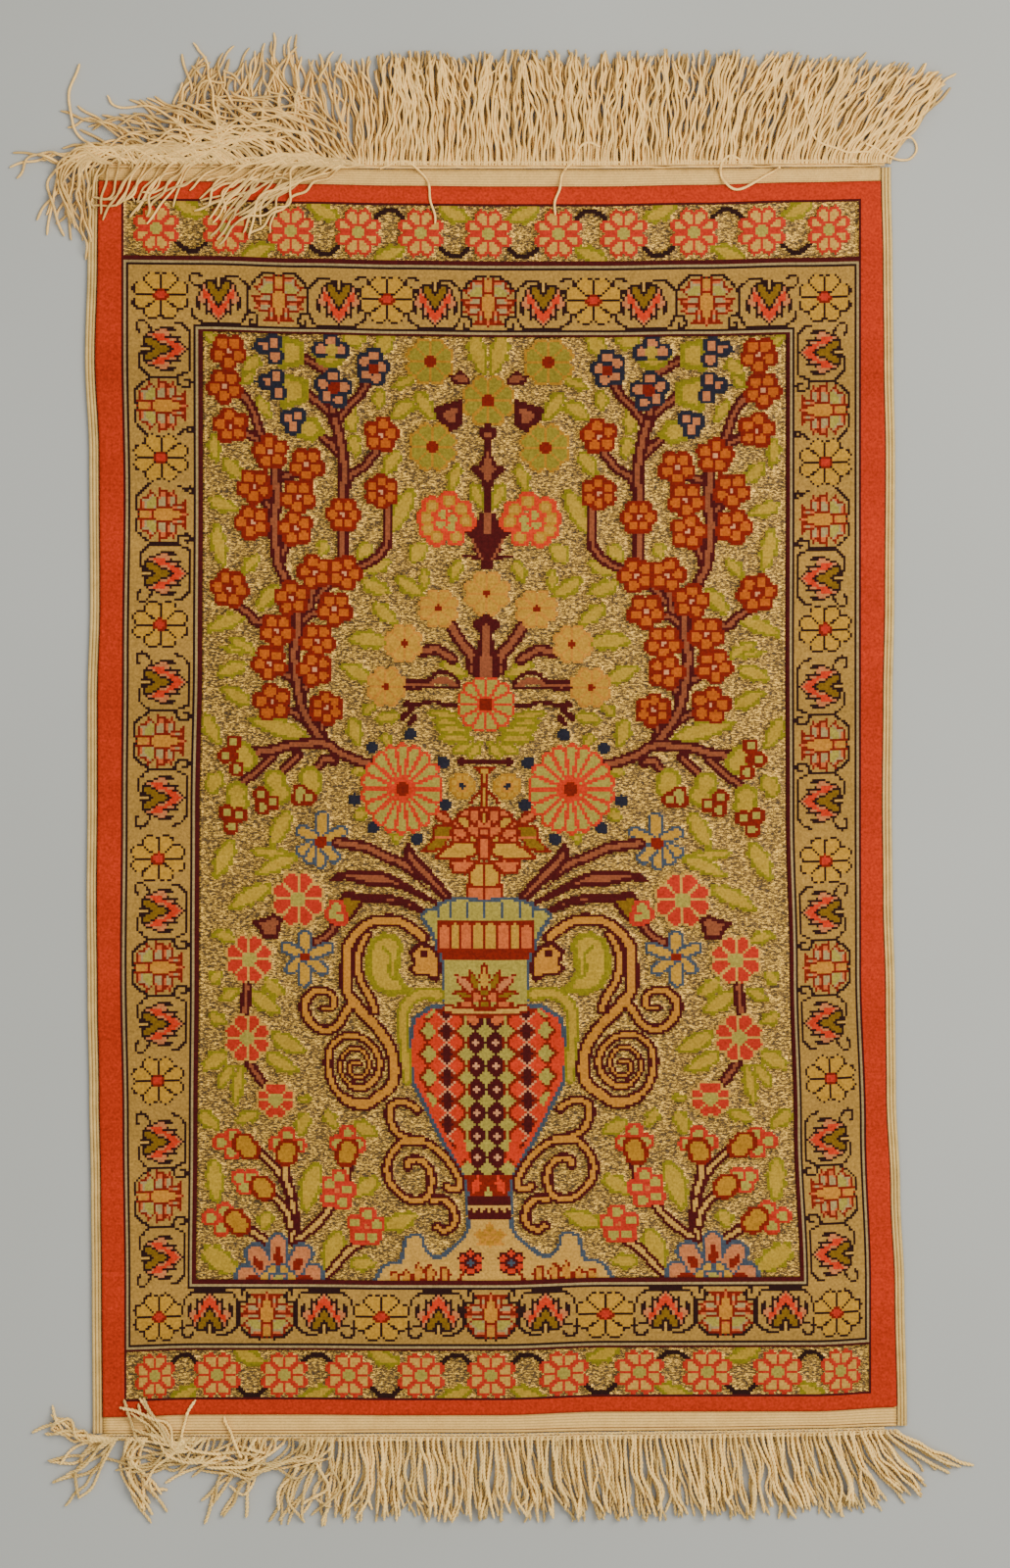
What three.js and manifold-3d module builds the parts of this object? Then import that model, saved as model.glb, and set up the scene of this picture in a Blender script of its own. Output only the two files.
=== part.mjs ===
// A hand-knotted silk pile rug, lying flat as it was laid down: the knotted cloth with its flatwoven
// ends, an overcast cord edging down each long side, and a cord fringe at each end.
// Millimetres. +Y runs up the rug towards its top fringe, +Z up. The origin is the middle of the
// underside. Every piece rests on the plane z = 0, apart from the few fringe cords that lie on the rug.
import * as THREE from 'three';
import { mergeVertices } from 'three/addons/utils/BufferGeometryUtils.js';
import Module from 'manifold-3d';

const wasm = await Module();
wasm.setup();

// Thicknesses and widths.
const PILE_TOP = 3.9; // floor to the tips of the pile
const FLATWEAVE_TOP = 1.5; // floor to the top of the flatwoven ends
const PILE_STEP = 1.2; // how far the pile's edge leans over its height
const SWELL = 0.2; // rise and fall of the laid cloth
const GAP = 0.3; // between neighbouring pieces
const EDGING_WIDTH = 5.8;
const EDGING_HEIGHT = 3.2;
const EDGING_CORDS = 3;
const STRIP_WIDTH = 2.6;
const STRIP_HEIGHT = 1.8;
const LAID_OVER = 4.4; // underside of a fringe cord that lies on the pile

// Where the pile stops at the left and right, by the height up the rug.
const SIDES = [
  { y: 368, left: -232.5, right: 230 },
  { y: 320, left: -233, right: 231 },
  { y: 262, left: -234.5, right: 231.5 },
  { y: 204, left: -232, right: 232.5 },
  { y: 117, left: -231.5, right: 232 },
  { y: 59, left: -233, right: 231 },
  { y: 1, left: -233, right: 230.5 },
  { y: -57, left: -233.5, right: 231 },
  { y: -115, left: -233, right: 232.5 },
  { y: -173, left: -232, right: 233 },
  { y: -231, left: -231, right: 235.5 },
  { y: -289, left: -230.5, right: 238 },
  { y: -366, left: -230, right: 239.5 },
];

// Where the pile and the flatwoven ends stop at the top and bottom, by the place across the rug.
const ENDS = [
  { x: -235, topWeave: 374.5, topPile: 366, bottomPile: -364, bottomWeave: -374.5 },
  { x: -169, topWeave: 374.5, topPile: 365.5, bottomPile: -362.5, bottomWeave: -374.5 },
  { x: -111, topWeave: 374, topPile: 364, bottomPile: -362.5, bottomWeave: -374.5 },
  { x: -53, topWeave: 373.5, topPile: 363, bottomPile: -363, bottomWeave: -374 },
  { x: 5, topWeave: 373.5, topPile: 362.5, bottomPile: -363, bottomWeave: -374 },
  { x: 63, topWeave: 373.5, topPile: 362.5, bottomPile: -361, bottomWeave: -373 },
  { x: 121, topWeave: 374, topPile: 363.5, bottomPile: -361, bottomWeave: -372.5 },
  { x: 179, topWeave: 374.5, topPile: 365, bottomPile: -361, bottomWeave: -371.5 },
  { x: 240, topWeave: 375, topPile: 366, bottomPile: -358.5, bottomWeave: -370 },
];

// How each fringe is combed. A cord starts at root on the fringe's strip, passes mid and ends at tip,
// both measured from the root: across the rug, and outwards from its end. A cord between two rows
// lies between them.
const TOP_COMB = [
  { root: -234, midX: -24, midOut: 4, tipX: -54, tipOut: -6 },
  { root: -224, midX: -23, midOut: 16, tipX: -55, tipOut: 11 },
  { root: -213, midX: -19, midOut: 25, tipX: -37, tipOut: 34 },
  { root: -198, midX: -12, midOut: 28, tipX: -28, tipOut: 43 },
  { root: -181, midX: -6, midOut: 31, tipX: -11, tipOut: 56 },
  { root: -158, midX: -2, midOut: 33, tipX: -12, tipOut: 65 },
  { root: -117, midX: -2, midOut: 33, tipX: -5, tipOut: 64 },
  { root: -75, midX: 2, midOut: 33, tipX: -4, tipOut: 65 },
  { root: 0, midX: 0, midOut: 33, tipX: -2, tipOut: 66 },
  { root: 80, midX: 1, midOut: 33, tipX: 1, tipOut: 66 },
  { root: 161, midX: 5, midOut: 33, tipX: 12, tipOut: 65 },
  { root: 202, midX: 10, midOut: 31, tipX: 26, tipOut: 61 },
  { root: 225, midX: 16, midOut: 24, tipX: 38, tipOut: 48 },
  { root: 235, midX: 14, midOut: 13, tipX: 28, tipOut: 28 },
];
const BOTTOM_COMB = [
  { root: -231, midX: -14, midOut: 2, tipX: -39, tipOut: 4 },
  { root: -226, midX: -12, midOut: 10, tipX: -34, tipOut: 28 },
  { root: -219, midX: -8, midOut: 20, tipX: -20, tipOut: 40 },
  { root: -209, midX: -4, midOut: 22, tipX: -9, tipOut: 46 },
  { root: -187, midX: -5, midOut: 22, tipX: -11, tipOut: 40 },
  { root: -158, midX: -6, midOut: 22, tipX: -15, tipOut: 42 },
  { root: -117, midX: 0, midOut: 22, tipX: -2, tipOut: 47 },
  { root: -59, midX: 2, midOut: 23, tipX: 1, tipOut: 45 },
  { root: 57, midX: 1, midOut: 22, tipX: 6, tipOut: 46 },
  { root: 144, midX: 6, midOut: 21, tipX: 17, tipOut: 46 },
  { root: 202, midX: 6, midOut: 19, tipX: 17, tipOut: 47 },
  { root: 225, midX: 9, midOut: 17, tipX: 29, tipOut: 36 },
  { root: 239, midX: 14, midOut: 9, tipX: 36, tipOut: 20 },
];

// Cords that turn back from the strip and lie on the rug, in the same columns.
const TOP_TURNED = [
  { root: -178, midX: -29, midOut: -15, tipX: -59, tipOut: -26 },
  { root: -142, midX: -32, midOut: -18, tipX: -68, tipOut: -39 },
  { root: -108, midX: -32, midOut: -19, tipX: -66, tipOut: -40 },
  { root: -77, midX: -22, midOut: -17, tipX: -50, tipOut: -44 },
];
const BOTTOM_TURNED = [
  { root: -190, midX: -11, midOut: -12, tipX: -28, tipOut: -18 },
  { root: -158, midX: -10, midOut: -13, tipX: -26, tipOut: -23 },
];

// Cords that spread over the floor from the left end of the top strip, past the rug's corner.
const CORNER_SPRAY = [
  { midX: -24, midOut: -3, tipX: -53, tipOut: -17 },
  { midX: -19, midOut: -6, tipX: -42, tipOut: -27 },
  { midX: -15, midOut: -9, tipX: -31, tipOut: -35 },
  { midX: -11, midOut: -11, tipX: -20, tipOut: -42 },
];

// Three loose cords of the top fringe, by their places on the rug.
const LOOSE_CORDS = [
  [{ x: -44.5, y: 375 }, { x: -38.5, y: 366.5 }, { x: -33.5, y: 353 }, { x: -36, y: 340.5 }],
  [{ x: 45, y: 375 }, { x: 39.5, y: 363 }, { x: 36.5, y: 346 }],
  [{ x: 173, y: 375.5 }, { x: 158, y: 368 }, { x: 146, y: 362 }, { x: 138.5, y: 364.5 }, { x: 136, y: 370 }],
];

// The two fringes: fine smooth cords at the top, thicker twisted ones at the bottom.
const TOP_FRINGE = {
  edge: 'topWeave', outward: 1, count: 130, width: 1.6, height: 1.5, steps: 5,
  comb: TOP_COMB, turned: TOP_TURNED, turnedCount: 15,
};
const BOTTOM_FRINGE = {
  edge: 'bottomWeave', outward: -1, count: 112, width: 2.0, height: 1.7, steps: 4,
  comb: BOTTOM_COMB, turned: BOTTOM_TURNED, turnedCount: 6,
};

// How finely the cloth and its edging are divided.
const CLOTH_COLUMNS = 15;
const PILE_ROWS = 17;
const EDGING_STEPS = 30;

// A smooth value read from a table's column, at a place given by its key column.
function readTable(table, key, column, place) {
  const rows = [...table].sort((a, b) => a[key] - b[key]);
  const last = rows.length - 1;
  const at = THREE.MathUtils.clamp(place, rows[0][key], rows[last][key]);
  let i = 0;
  while (i < last - 1 && at > rows[i + 1][key]) i += 1;
  const t = (at - rows[i][key]) / (rows[i + 1][key] - rows[i][key]);
  return THREE.MathUtils.lerp(rows[i][column], rows[i + 1][column], THREE.MathUtils.smoothstep(t, 0, 1));
}

// A cord's own small difference from its neighbours, between -1 and 1.
const variation = (i, seed) => Math.sin(i * 2.399 + seed) * Math.cos(i * 0.77 + seed * 3.1);

function material(color, roughness) {
  return new THREE.MeshStandardMaterial({ color, roughness, metalness: 0 });
}

// A closed slab over a grid of top points, with its flat underside on z = 0.
function slabFromGrid(grid) {
  const rows = grid.length;
  const columns = grid[0].length;
  const points = [];
  for (const row of grid) for (const p of row) points.push(p.x, p.y, p.z);
  for (const row of grid) for (const p of row) points.push(p.x, p.y, 0);
  const top = (r, c) => r * columns + c;
  const under = (r, c) => rows * columns + r * columns + c;
  const faces = [];
  const quad = (a, b, c, d) => faces.push(a, b, c, a, c, d);
  for (let r = 0; r < rows - 1; r += 1) {
    for (let c = 0; c < columns - 1; c += 1) {
      quad(top(r, c), top(r, c + 1), top(r + 1, c + 1), top(r + 1, c));
      quad(under(r, c), under(r + 1, c), under(r + 1, c + 1), under(r, c + 1));
    }
  }
  for (let c = 0; c < columns - 1; c += 1) {
    quad(under(0, c), under(0, c + 1), top(0, c + 1), top(0, c));
    quad(under(rows - 1, c + 1), under(rows - 1, c), top(rows - 1, c), top(rows - 1, c + 1));
  }
  for (let r = 0; r < rows - 1; r += 1) {
    quad(under(r + 1, 0), under(r, 0), top(r, 0), top(r + 1, 0));
    quad(under(r, columns - 1), under(r + 1, columns - 1), top(r + 1, columns - 1), top(r, columns - 1));
  }
  const geometry = new THREE.BufferGeometry();
  geometry.setAttribute('position', new THREE.Float32BufferAttribute(points, 3));
  geometry.setIndex(faces);
  return geometry;
}

// A closed solid of one upright section carried along a path. The section's points run anticlockwise,
// x across the path to its right and y upwards, so a flat base stays level.
function laidAlong(path, section) {
  const points = [];
  path.forEach((p, i) => {
    const before = path[Math.max(i - 1, 0)];
    const after = path[Math.min(i + 1, path.length - 1)];
    const along = new THREE.Vector2(after.x - before.x, after.y - before.y).normalize();
    for (const s of section) points.push(p.x + along.y * s.x, p.y - along.x * s.x, p.z + s.y);
  });
  const n = section.length;
  const faces = [];
  for (let i = 0; i < path.length - 1; i += 1) {
    for (let k = 0; k < n; k += 1) {
      const next = (k + 1) % n;
      const a = i * n + k;
      const b = i * n + next;
      faces.push(a, b + n, b, a, a + n, b + n);
    }
  }
  const end = (path.length - 1) * n;
  for (const [a, b, c] of THREE.ShapeUtils.triangulateShape(section, [])) {
    faces.push(a, b, c, end + a, end + c, end + b);
  }
  const geometry = new THREE.BufferGeometry();
  geometry.setAttribute('position', new THREE.Float32BufferAttribute(points, 3));
  geometry.setIndex(faces);
  return geometry;
}

const smoothPath = (points, steps) => new THREE.CatmullRomCurve3(points).getPoints(steps);

function toManifold(geometry) {
  const merged = mergeVertices(geometry, 1e-4);
  const vertProperties = new Float32Array(merged.attributes.position.array);
  const triVerts = new Uint32Array(merged.index.array);
  return new wasm.Manifold(new wasm.Mesh({ numProp: 3, vertProperties, triVerts }));
}

function fuse(geometries) {
  const whole = geometries.map(toManifold).reduce((sum, solid) => sum.add(solid));
  const mesh = whole.getMesh();
  const geometry = new THREE.BufferGeometry();
  geometry.setAttribute('position', new THREE.BufferAttribute(mesh.vertProperties, mesh.numProp));
  geometry.setIndex(new THREE.BufferAttribute(mesh.triVerts, 1));
  return geometry;
}

// The knotted cloth: a thin slab whose pile area stands higher than its two flatwoven ends.
function clothGeometry() {
  const pileShares = Array.from({ length: PILE_ROWS + 1 }, (_, i) => i / PILE_ROWS);
  const grid = [];
  const addRow = (yAt, zAt) => {
    const row = [];
    for (let c = 0; c <= CLOTH_COLUMNS; c += 1) {
      const across = c / CLOTH_COLUMNS;
      const roughX = THREE.MathUtils.lerp(-232, 232, across);
      const y = yAt(roughX);
      const x = THREE.MathUtils.lerp(readTable(SIDES, 'y', 'left', y), readTable(SIDES, 'y', 'right', y), across);
      row.push(new THREE.Vector3(x, y, zAt(x, y)));
    }
    grid.push(row);
  };
  const end = (column) => (x) => readTable(ENDS, 'x', column, x);
  const flat = () => FLATWEAVE_TOP;
  const swell = (x, y) => PILE_TOP + SWELL * Math.sin(x / 47 + 1) * Math.sin(y / 61);
  const bottomFoot = (x) => end('bottomPile')(x) - PILE_STEP;
  const topFoot = (x) => end('topPile')(x) + PILE_STEP;
  addRow(end('bottomWeave'), flat);
  addRow(bottomFoot, flat);
  for (const share of pileShares) {
    addRow((x) => THREE.MathUtils.lerp(end('bottomPile')(x), end('topPile')(x), share), swell);
  }
  addRow(topFoot, flat);
  addRow(end('topWeave'), flat);
  return slabFromGrid(grid);
}

// The section of the side edging: side cords overcast together, seen as ribs on its top.
function edgingSection() {
  const cordWidth = EDGING_WIDTH / EDGING_CORDS;
  const points = [new THREE.Vector2(-EDGING_WIDTH / 2, 0), new THREE.Vector2(EDGING_WIDTH / 2, 0)];
  for (let i = EDGING_CORDS - 1; i >= 0; i -= 1) {
    const middle = (i - (EDGING_CORDS - 1) / 2) * cordWidth;
    points.push(new THREE.Vector2(middle + cordWidth * 0.5, EDGING_HEIGHT * 0.72));
    points.push(new THREE.Vector2(middle + cordWidth * 0.25, EDGING_HEIGHT));
    points.push(new THREE.Vector2(middle - cordWidth * 0.25, EDGING_HEIGHT));
  }
  points.push(new THREE.Vector2(-EDGING_WIDTH / 2, EDGING_HEIGHT * 0.72));
  return points;
}

function edgingGeometry(side) {
  const sign = side === 'left' ? -1 : 1;
  const top = readTable(ENDS, 'x', 'topWeave', sign * 240);
  const bottom = readTable(ENDS, 'x', 'bottomWeave', sign * 240);
  const path = [];
  for (let i = 0; i <= EDGING_STEPS; i += 1) {
    const y = THREE.MathUtils.lerp(bottom, top, i / EDGING_STEPS);
    const x = readTable(SIDES, 'y', side, y) + sign * (GAP + 0.05 + EDGING_WIDTH / 2);
    path.push(new THREE.Vector3(x, y, 0));
  }
  return laidAlong(path, edgingSection());
}

// The middle line of a fringe's strip, just clear of the cloth's end.
function stripPoint(fringe, x) {
  const y = readTable(ENDS, 'x', fringe.edge, x) + fringe.outward * (GAP + 0.1 + STRIP_WIDTH / 2);
  return new THREE.Vector3(x, y, 0);
}

function cordSection(fringe) {
  const half = fringe.width / 2;
  return [new THREE.Vector2(-half, 0), new THREE.Vector2(half, 0), new THREE.Vector2(0, fringe.height)];
}

function combRow(comb, root) {
  const read = (column) => readTable(comb, 'root', column, root);
  return { midX: read('midX'), midOut: read('midOut'), tipX: read('tipX'), tipOut: read('tipOut') };
}

// A cord that lies on the floor from its root to its tip. It leaves the strip straight outwards, or
// along it where the row is of the corner's spray.
function floorCord(fringe, root, row, stretch = 1) {
  const start = stripPoint(fringe, root);
  const out = fringe.outward;
  const at = (dx, dOut) => new THREE.Vector3(start.x + dx, start.y + out * dOut, 0);
  const leave = row.midOut < 0 ? at(-7, 0.3) : at(row.midX * 0.12, Math.max(row.midOut * 0.25, 0.5));
  const points = [start, leave, at(row.midX, row.midOut), at(row.tipX * stretch, row.tipOut * stretch)];
  return laidAlong(smoothPath(points, fringe.steps), cordSection(fringe));
}

// A cord that turns back from the strip, climbs the flatwoven end and lies on the pile.
function turnedCord(fringe, root, row, stretch = 1) {
  const start = stripPoint(fringe, root);
  const out = fringe.outward;
  const at = (dx, dOut, z) => new THREE.Vector3(start.x + dx, start.y + out * dOut, z);
  const path = [at(0, 0, 0.9), at(-0.8, -1.9, 1.95), at(row.midX * 0.35, -9, LAID_OVER),
    at(row.midX, row.midOut, LAID_OVER), at((row.midX + row.tipX) / 2, (row.midOut + row.tipOut) / 2, LAID_OVER),
    at(row.tipX * stretch, row.tipOut * stretch, LAID_OVER)];
  return laidAlong(path, cordSection(fringe));
}

function looseCord(fringe, places) {
  const climb = [0.9, 3.9];
  const points = places.map((p, i) => new THREE.Vector3(p.x, p.y, climb[i] ?? LAID_OVER));
  points.splice(1, 0, new THREE.Vector3(points[0].x - 0.5, points[0].y - 2.1, 2.1));
  points[2].z = LAID_OVER;
  return laidAlong(points, cordSection(fringe));
}

function fringeGeometry(fringe, extras = []) {
  const first = fringe.comb[0].root;
  const last = fringe.comb[fringe.comb.length - 1].root;
  const half = STRIP_WIDTH / 2;
  const section = [new THREE.Vector2(-half, 0), new THREE.Vector2(half, 0),
    new THREE.Vector2(half, STRIP_HEIGHT), new THREE.Vector2(-half, STRIP_HEIGHT)];
  const stripSteps = 24;
  const strip = [];
  for (let i = 0; i <= stripSteps; i += 1) {
    strip.push(stripPoint(fringe, THREE.MathUtils.lerp(first - 2, last + 2, i / stripSteps)));
  }
  const solids = [laidAlong(strip, section)];
  for (let i = 0; i < fringe.count; i += 1) {
    const root = THREE.MathUtils.lerp(first, last, i / (fringe.count - 1));
    const row = combRow(fringe.comb, root);
    row.midX += 0.3 * variation(i, 1);
    row.tipX += 0.6 * variation(i, 2);
    solids.push(floorCord(fringe, root, row, 1 + 0.05 * variation(i, 3)));
  }
  const turnedFirst = fringe.turned[0].root;
  const turnedLast = fringe.turned[fringe.turned.length - 1].root;
  for (let i = 0; i < fringe.turnedCount; i += 1) {
    const root = THREE.MathUtils.lerp(turnedFirst, turnedLast, i / (fringe.turnedCount - 1));
    solids.push(turnedCord(fringe, root, combRow(fringe.turned, root), 1 + 0.12 * variation(i, 5)));
  }
  return fuse([...solids, ...extras]);
}

function topFringeGeometry() {
  const left = TOP_COMB[0].root - 1;
  const spray = CORNER_SPRAY.map((row) => floorCord(TOP_FRINGE, left, row));
  const loose = LOOSE_CORDS.map((places) => looseCord(TOP_FRINGE, places));
  return fringeGeometry(TOP_FRINGE, [...spray, ...loose]);
}

const SILK_RED = material('#b8402a', 0.75);
const EDGING_CREAM = material('#cbb68a', 0.8);
const FRINGE_CREAM = material('#d8be88', 0.8);

const rug = new THREE.Group();
function addPiece(name, geometry, finish) {
  const mesh = new THREE.Mesh(geometry, finish);
  mesh.name = name;
  rug.add(mesh);
}

addPiece('rug_cloth', clothGeometry(), SILK_RED);
addPiece('edging_left', edgingGeometry('left'), EDGING_CREAM);
addPiece('edging_right', edgingGeometry('right'), EDGING_CREAM);
addPiece('fringe_top', topFringeGeometry(), FRINGE_CREAM);
addPiece('fringe_bottom', fringeGeometry(BOTTOM_FRINGE), FRINGE_CREAM);

export default rug;
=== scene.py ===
"""A small hand-knotted silk pile rug, lying flat and seen from straight above.

The pile is laid out as the weaver's chart: one cell a knot, drawn for one half and mirrored. The chart
is then stretched over the rug's real, slightly uneven outline, so that every knot is a face of the pile.
The pile stands on a thin foundation, whose ends are the flatwoven bands and whose underside shows the
pattern as the back does. Chart places are (out, row): knots out from the middle column, and rows down from
the top of the pile.
"""
import logging
import math
from collections.abc import Callable, Iterable, Sequence
from dataclasses import dataclass, field
from enum import Enum, IntEnum
from typing import Any, NamedTuple

import bpy
import numpy as np
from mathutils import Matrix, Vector


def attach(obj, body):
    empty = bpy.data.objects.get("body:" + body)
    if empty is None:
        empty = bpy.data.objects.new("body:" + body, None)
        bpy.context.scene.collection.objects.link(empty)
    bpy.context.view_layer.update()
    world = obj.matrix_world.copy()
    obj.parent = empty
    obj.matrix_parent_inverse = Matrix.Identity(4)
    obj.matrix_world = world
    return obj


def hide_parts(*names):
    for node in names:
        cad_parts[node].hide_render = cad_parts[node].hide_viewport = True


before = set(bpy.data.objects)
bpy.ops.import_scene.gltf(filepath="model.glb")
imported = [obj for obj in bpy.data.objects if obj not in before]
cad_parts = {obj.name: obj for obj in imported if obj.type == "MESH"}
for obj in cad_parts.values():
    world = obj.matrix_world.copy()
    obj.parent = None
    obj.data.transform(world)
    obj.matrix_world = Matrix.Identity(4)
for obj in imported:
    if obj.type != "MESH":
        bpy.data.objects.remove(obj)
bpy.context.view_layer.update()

LOG = logging.getLogger("rug")

MM = 0.001
BODY = "root"

# The photo's frame, and how it maps to the rug: millimetres a pixel, and the pixel of the rug's origin.
FRAME_WIDTH = 1031
FRAME_HEIGHT = 1600
MM_PER_PIXEL = 0.58
ORIGIN_PIXEL_X = 502
ORIGIN_PIXEL_Y = 817

# Heights above the floor, in millimetres. The first two repeat the CAD solids.
PILE_TOP = 3.9
FLATWEAVE_TOP = 1.5
METAL_TOP = 2.85
PILE_FOOT = 1.54

# The chart.
ROWS = 522
HALF = 162
COLUMNS = 2 * HALF - 1
FIELD_OUT = 118
FIELD_FIRST_ROW = 63
FIELD_LAST_ROW = 464

Place = tuple[float, float]
Block = tuple[int, int, int, int]
Plan = tuple[float, float, float, float]

# How square a blossom's petals are: 2 would make them round.
SQUARISH = 2.6

# Noise nodes give values that lie mostly between these.
NOISE_LOW = 0.3
NOISE_HIGH = 0.7


class Yarn(IntEnum):
    """The chart's yarns, each with its dye. METAL is the ground of wrapped thread, the rest are silk."""

    dye: str

    def __new__(cls, number: int, dye: str) -> "Yarn":
        """Makes a yarn that counts as its number and carries its dye.

        Args:
            number: The yarn's number in the chart.
            dye: Its colour, as an sRGB hex value.

        Returns:
            The yarn.
        """
        yarn = int.__new__(cls, number)
        yarn._value_ = number
        yarn.dye = dye
        return yarn

    METAL = (0, "#A38044")
    GUARD_RED = (1, "#C23516")
    MAROON = (2, "#4A0F0E")
    BLACK = (3, "#2A120E")
    DARK_RED = (4, "#7E1C0C")
    ORANGE = (5, "#BC5A16")
    OCHRE = (6, "#AF853D")
    YELLOW = (7, "#C18E2D")
    OLIVE = (8, "#835F14")
    LEAF_EDGE = (9, "#877A1B")
    LEAF = (10, "#B8942D")
    SAGE = (11, "#A9973F")
    CORAL = (12, "#D33716")
    SALMON = (13, "#C67645")
    NAVY = (14, "#25242F")
    SLATE = (15, "#434C57")
    CREAM = (16, "#A68E5C")
    STEM = (17, "#904D2E")
    GREEN = (18, "#918028")
    GOLD = (19, "#B27B1D")
    PINK = (20, "#CD6431")
    BRIGHT_RED = (21, "#BF301B")
    PEACH = (22, "#D79263")
    TAN = (23, "#CC9A44")
    AMBER = (24, "#C5822A")


def linear(hex_colour: str) -> tuple[float, float, float, float]:
    """Turns an sRGB hex colour to linear values with full alpha.

    Args:
        hex_colour: The colour as "#RRGGBB".

    Returns:
        Red, green, blue and alpha, for a Blender socket or attribute.
    """
    parts = [int(hex_colour[i : i + 2], 16) / 255 for i in (1, 3, 5)]
    red, green, blue = (c / 12.92 if c <= 0.04045 else ((c + 0.055) / 1.055) ** 2.4 for c in parts)
    return (red, green, blue, 1.0)


def smooth_points(points: Sequence[Place], step: float = 1.0) -> np.ndarray:
    """Runs a smooth curve through a few places.

    Args:
        points: The places that the curve passes.
        step: The distance between the points returned.

    Returns:
        Points along the curve, one row each.
    """
    p = np.asarray(points, float)
    if len(p) < 3:
        return p
    padded = np.vstack([2 * p[0] - p[1], p, 2 * p[-1] - p[-2]])
    out = []
    for a, b, c, d in zip(padded, padded[1:], padded[2:], padded[3:]):
        n = max(2, int(np.linalg.norm(c - b) / step))
        t = (np.arange(n) / n)[:, None]
        out.append(0.5 * (2 * b + (c - a) * t + (2 * a - 5 * b + 4 * c - d) * t**2
                          + (3 * b - a - 3 * c + d) * t**3))
    return np.vstack([*out, p[-1:]])


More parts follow.
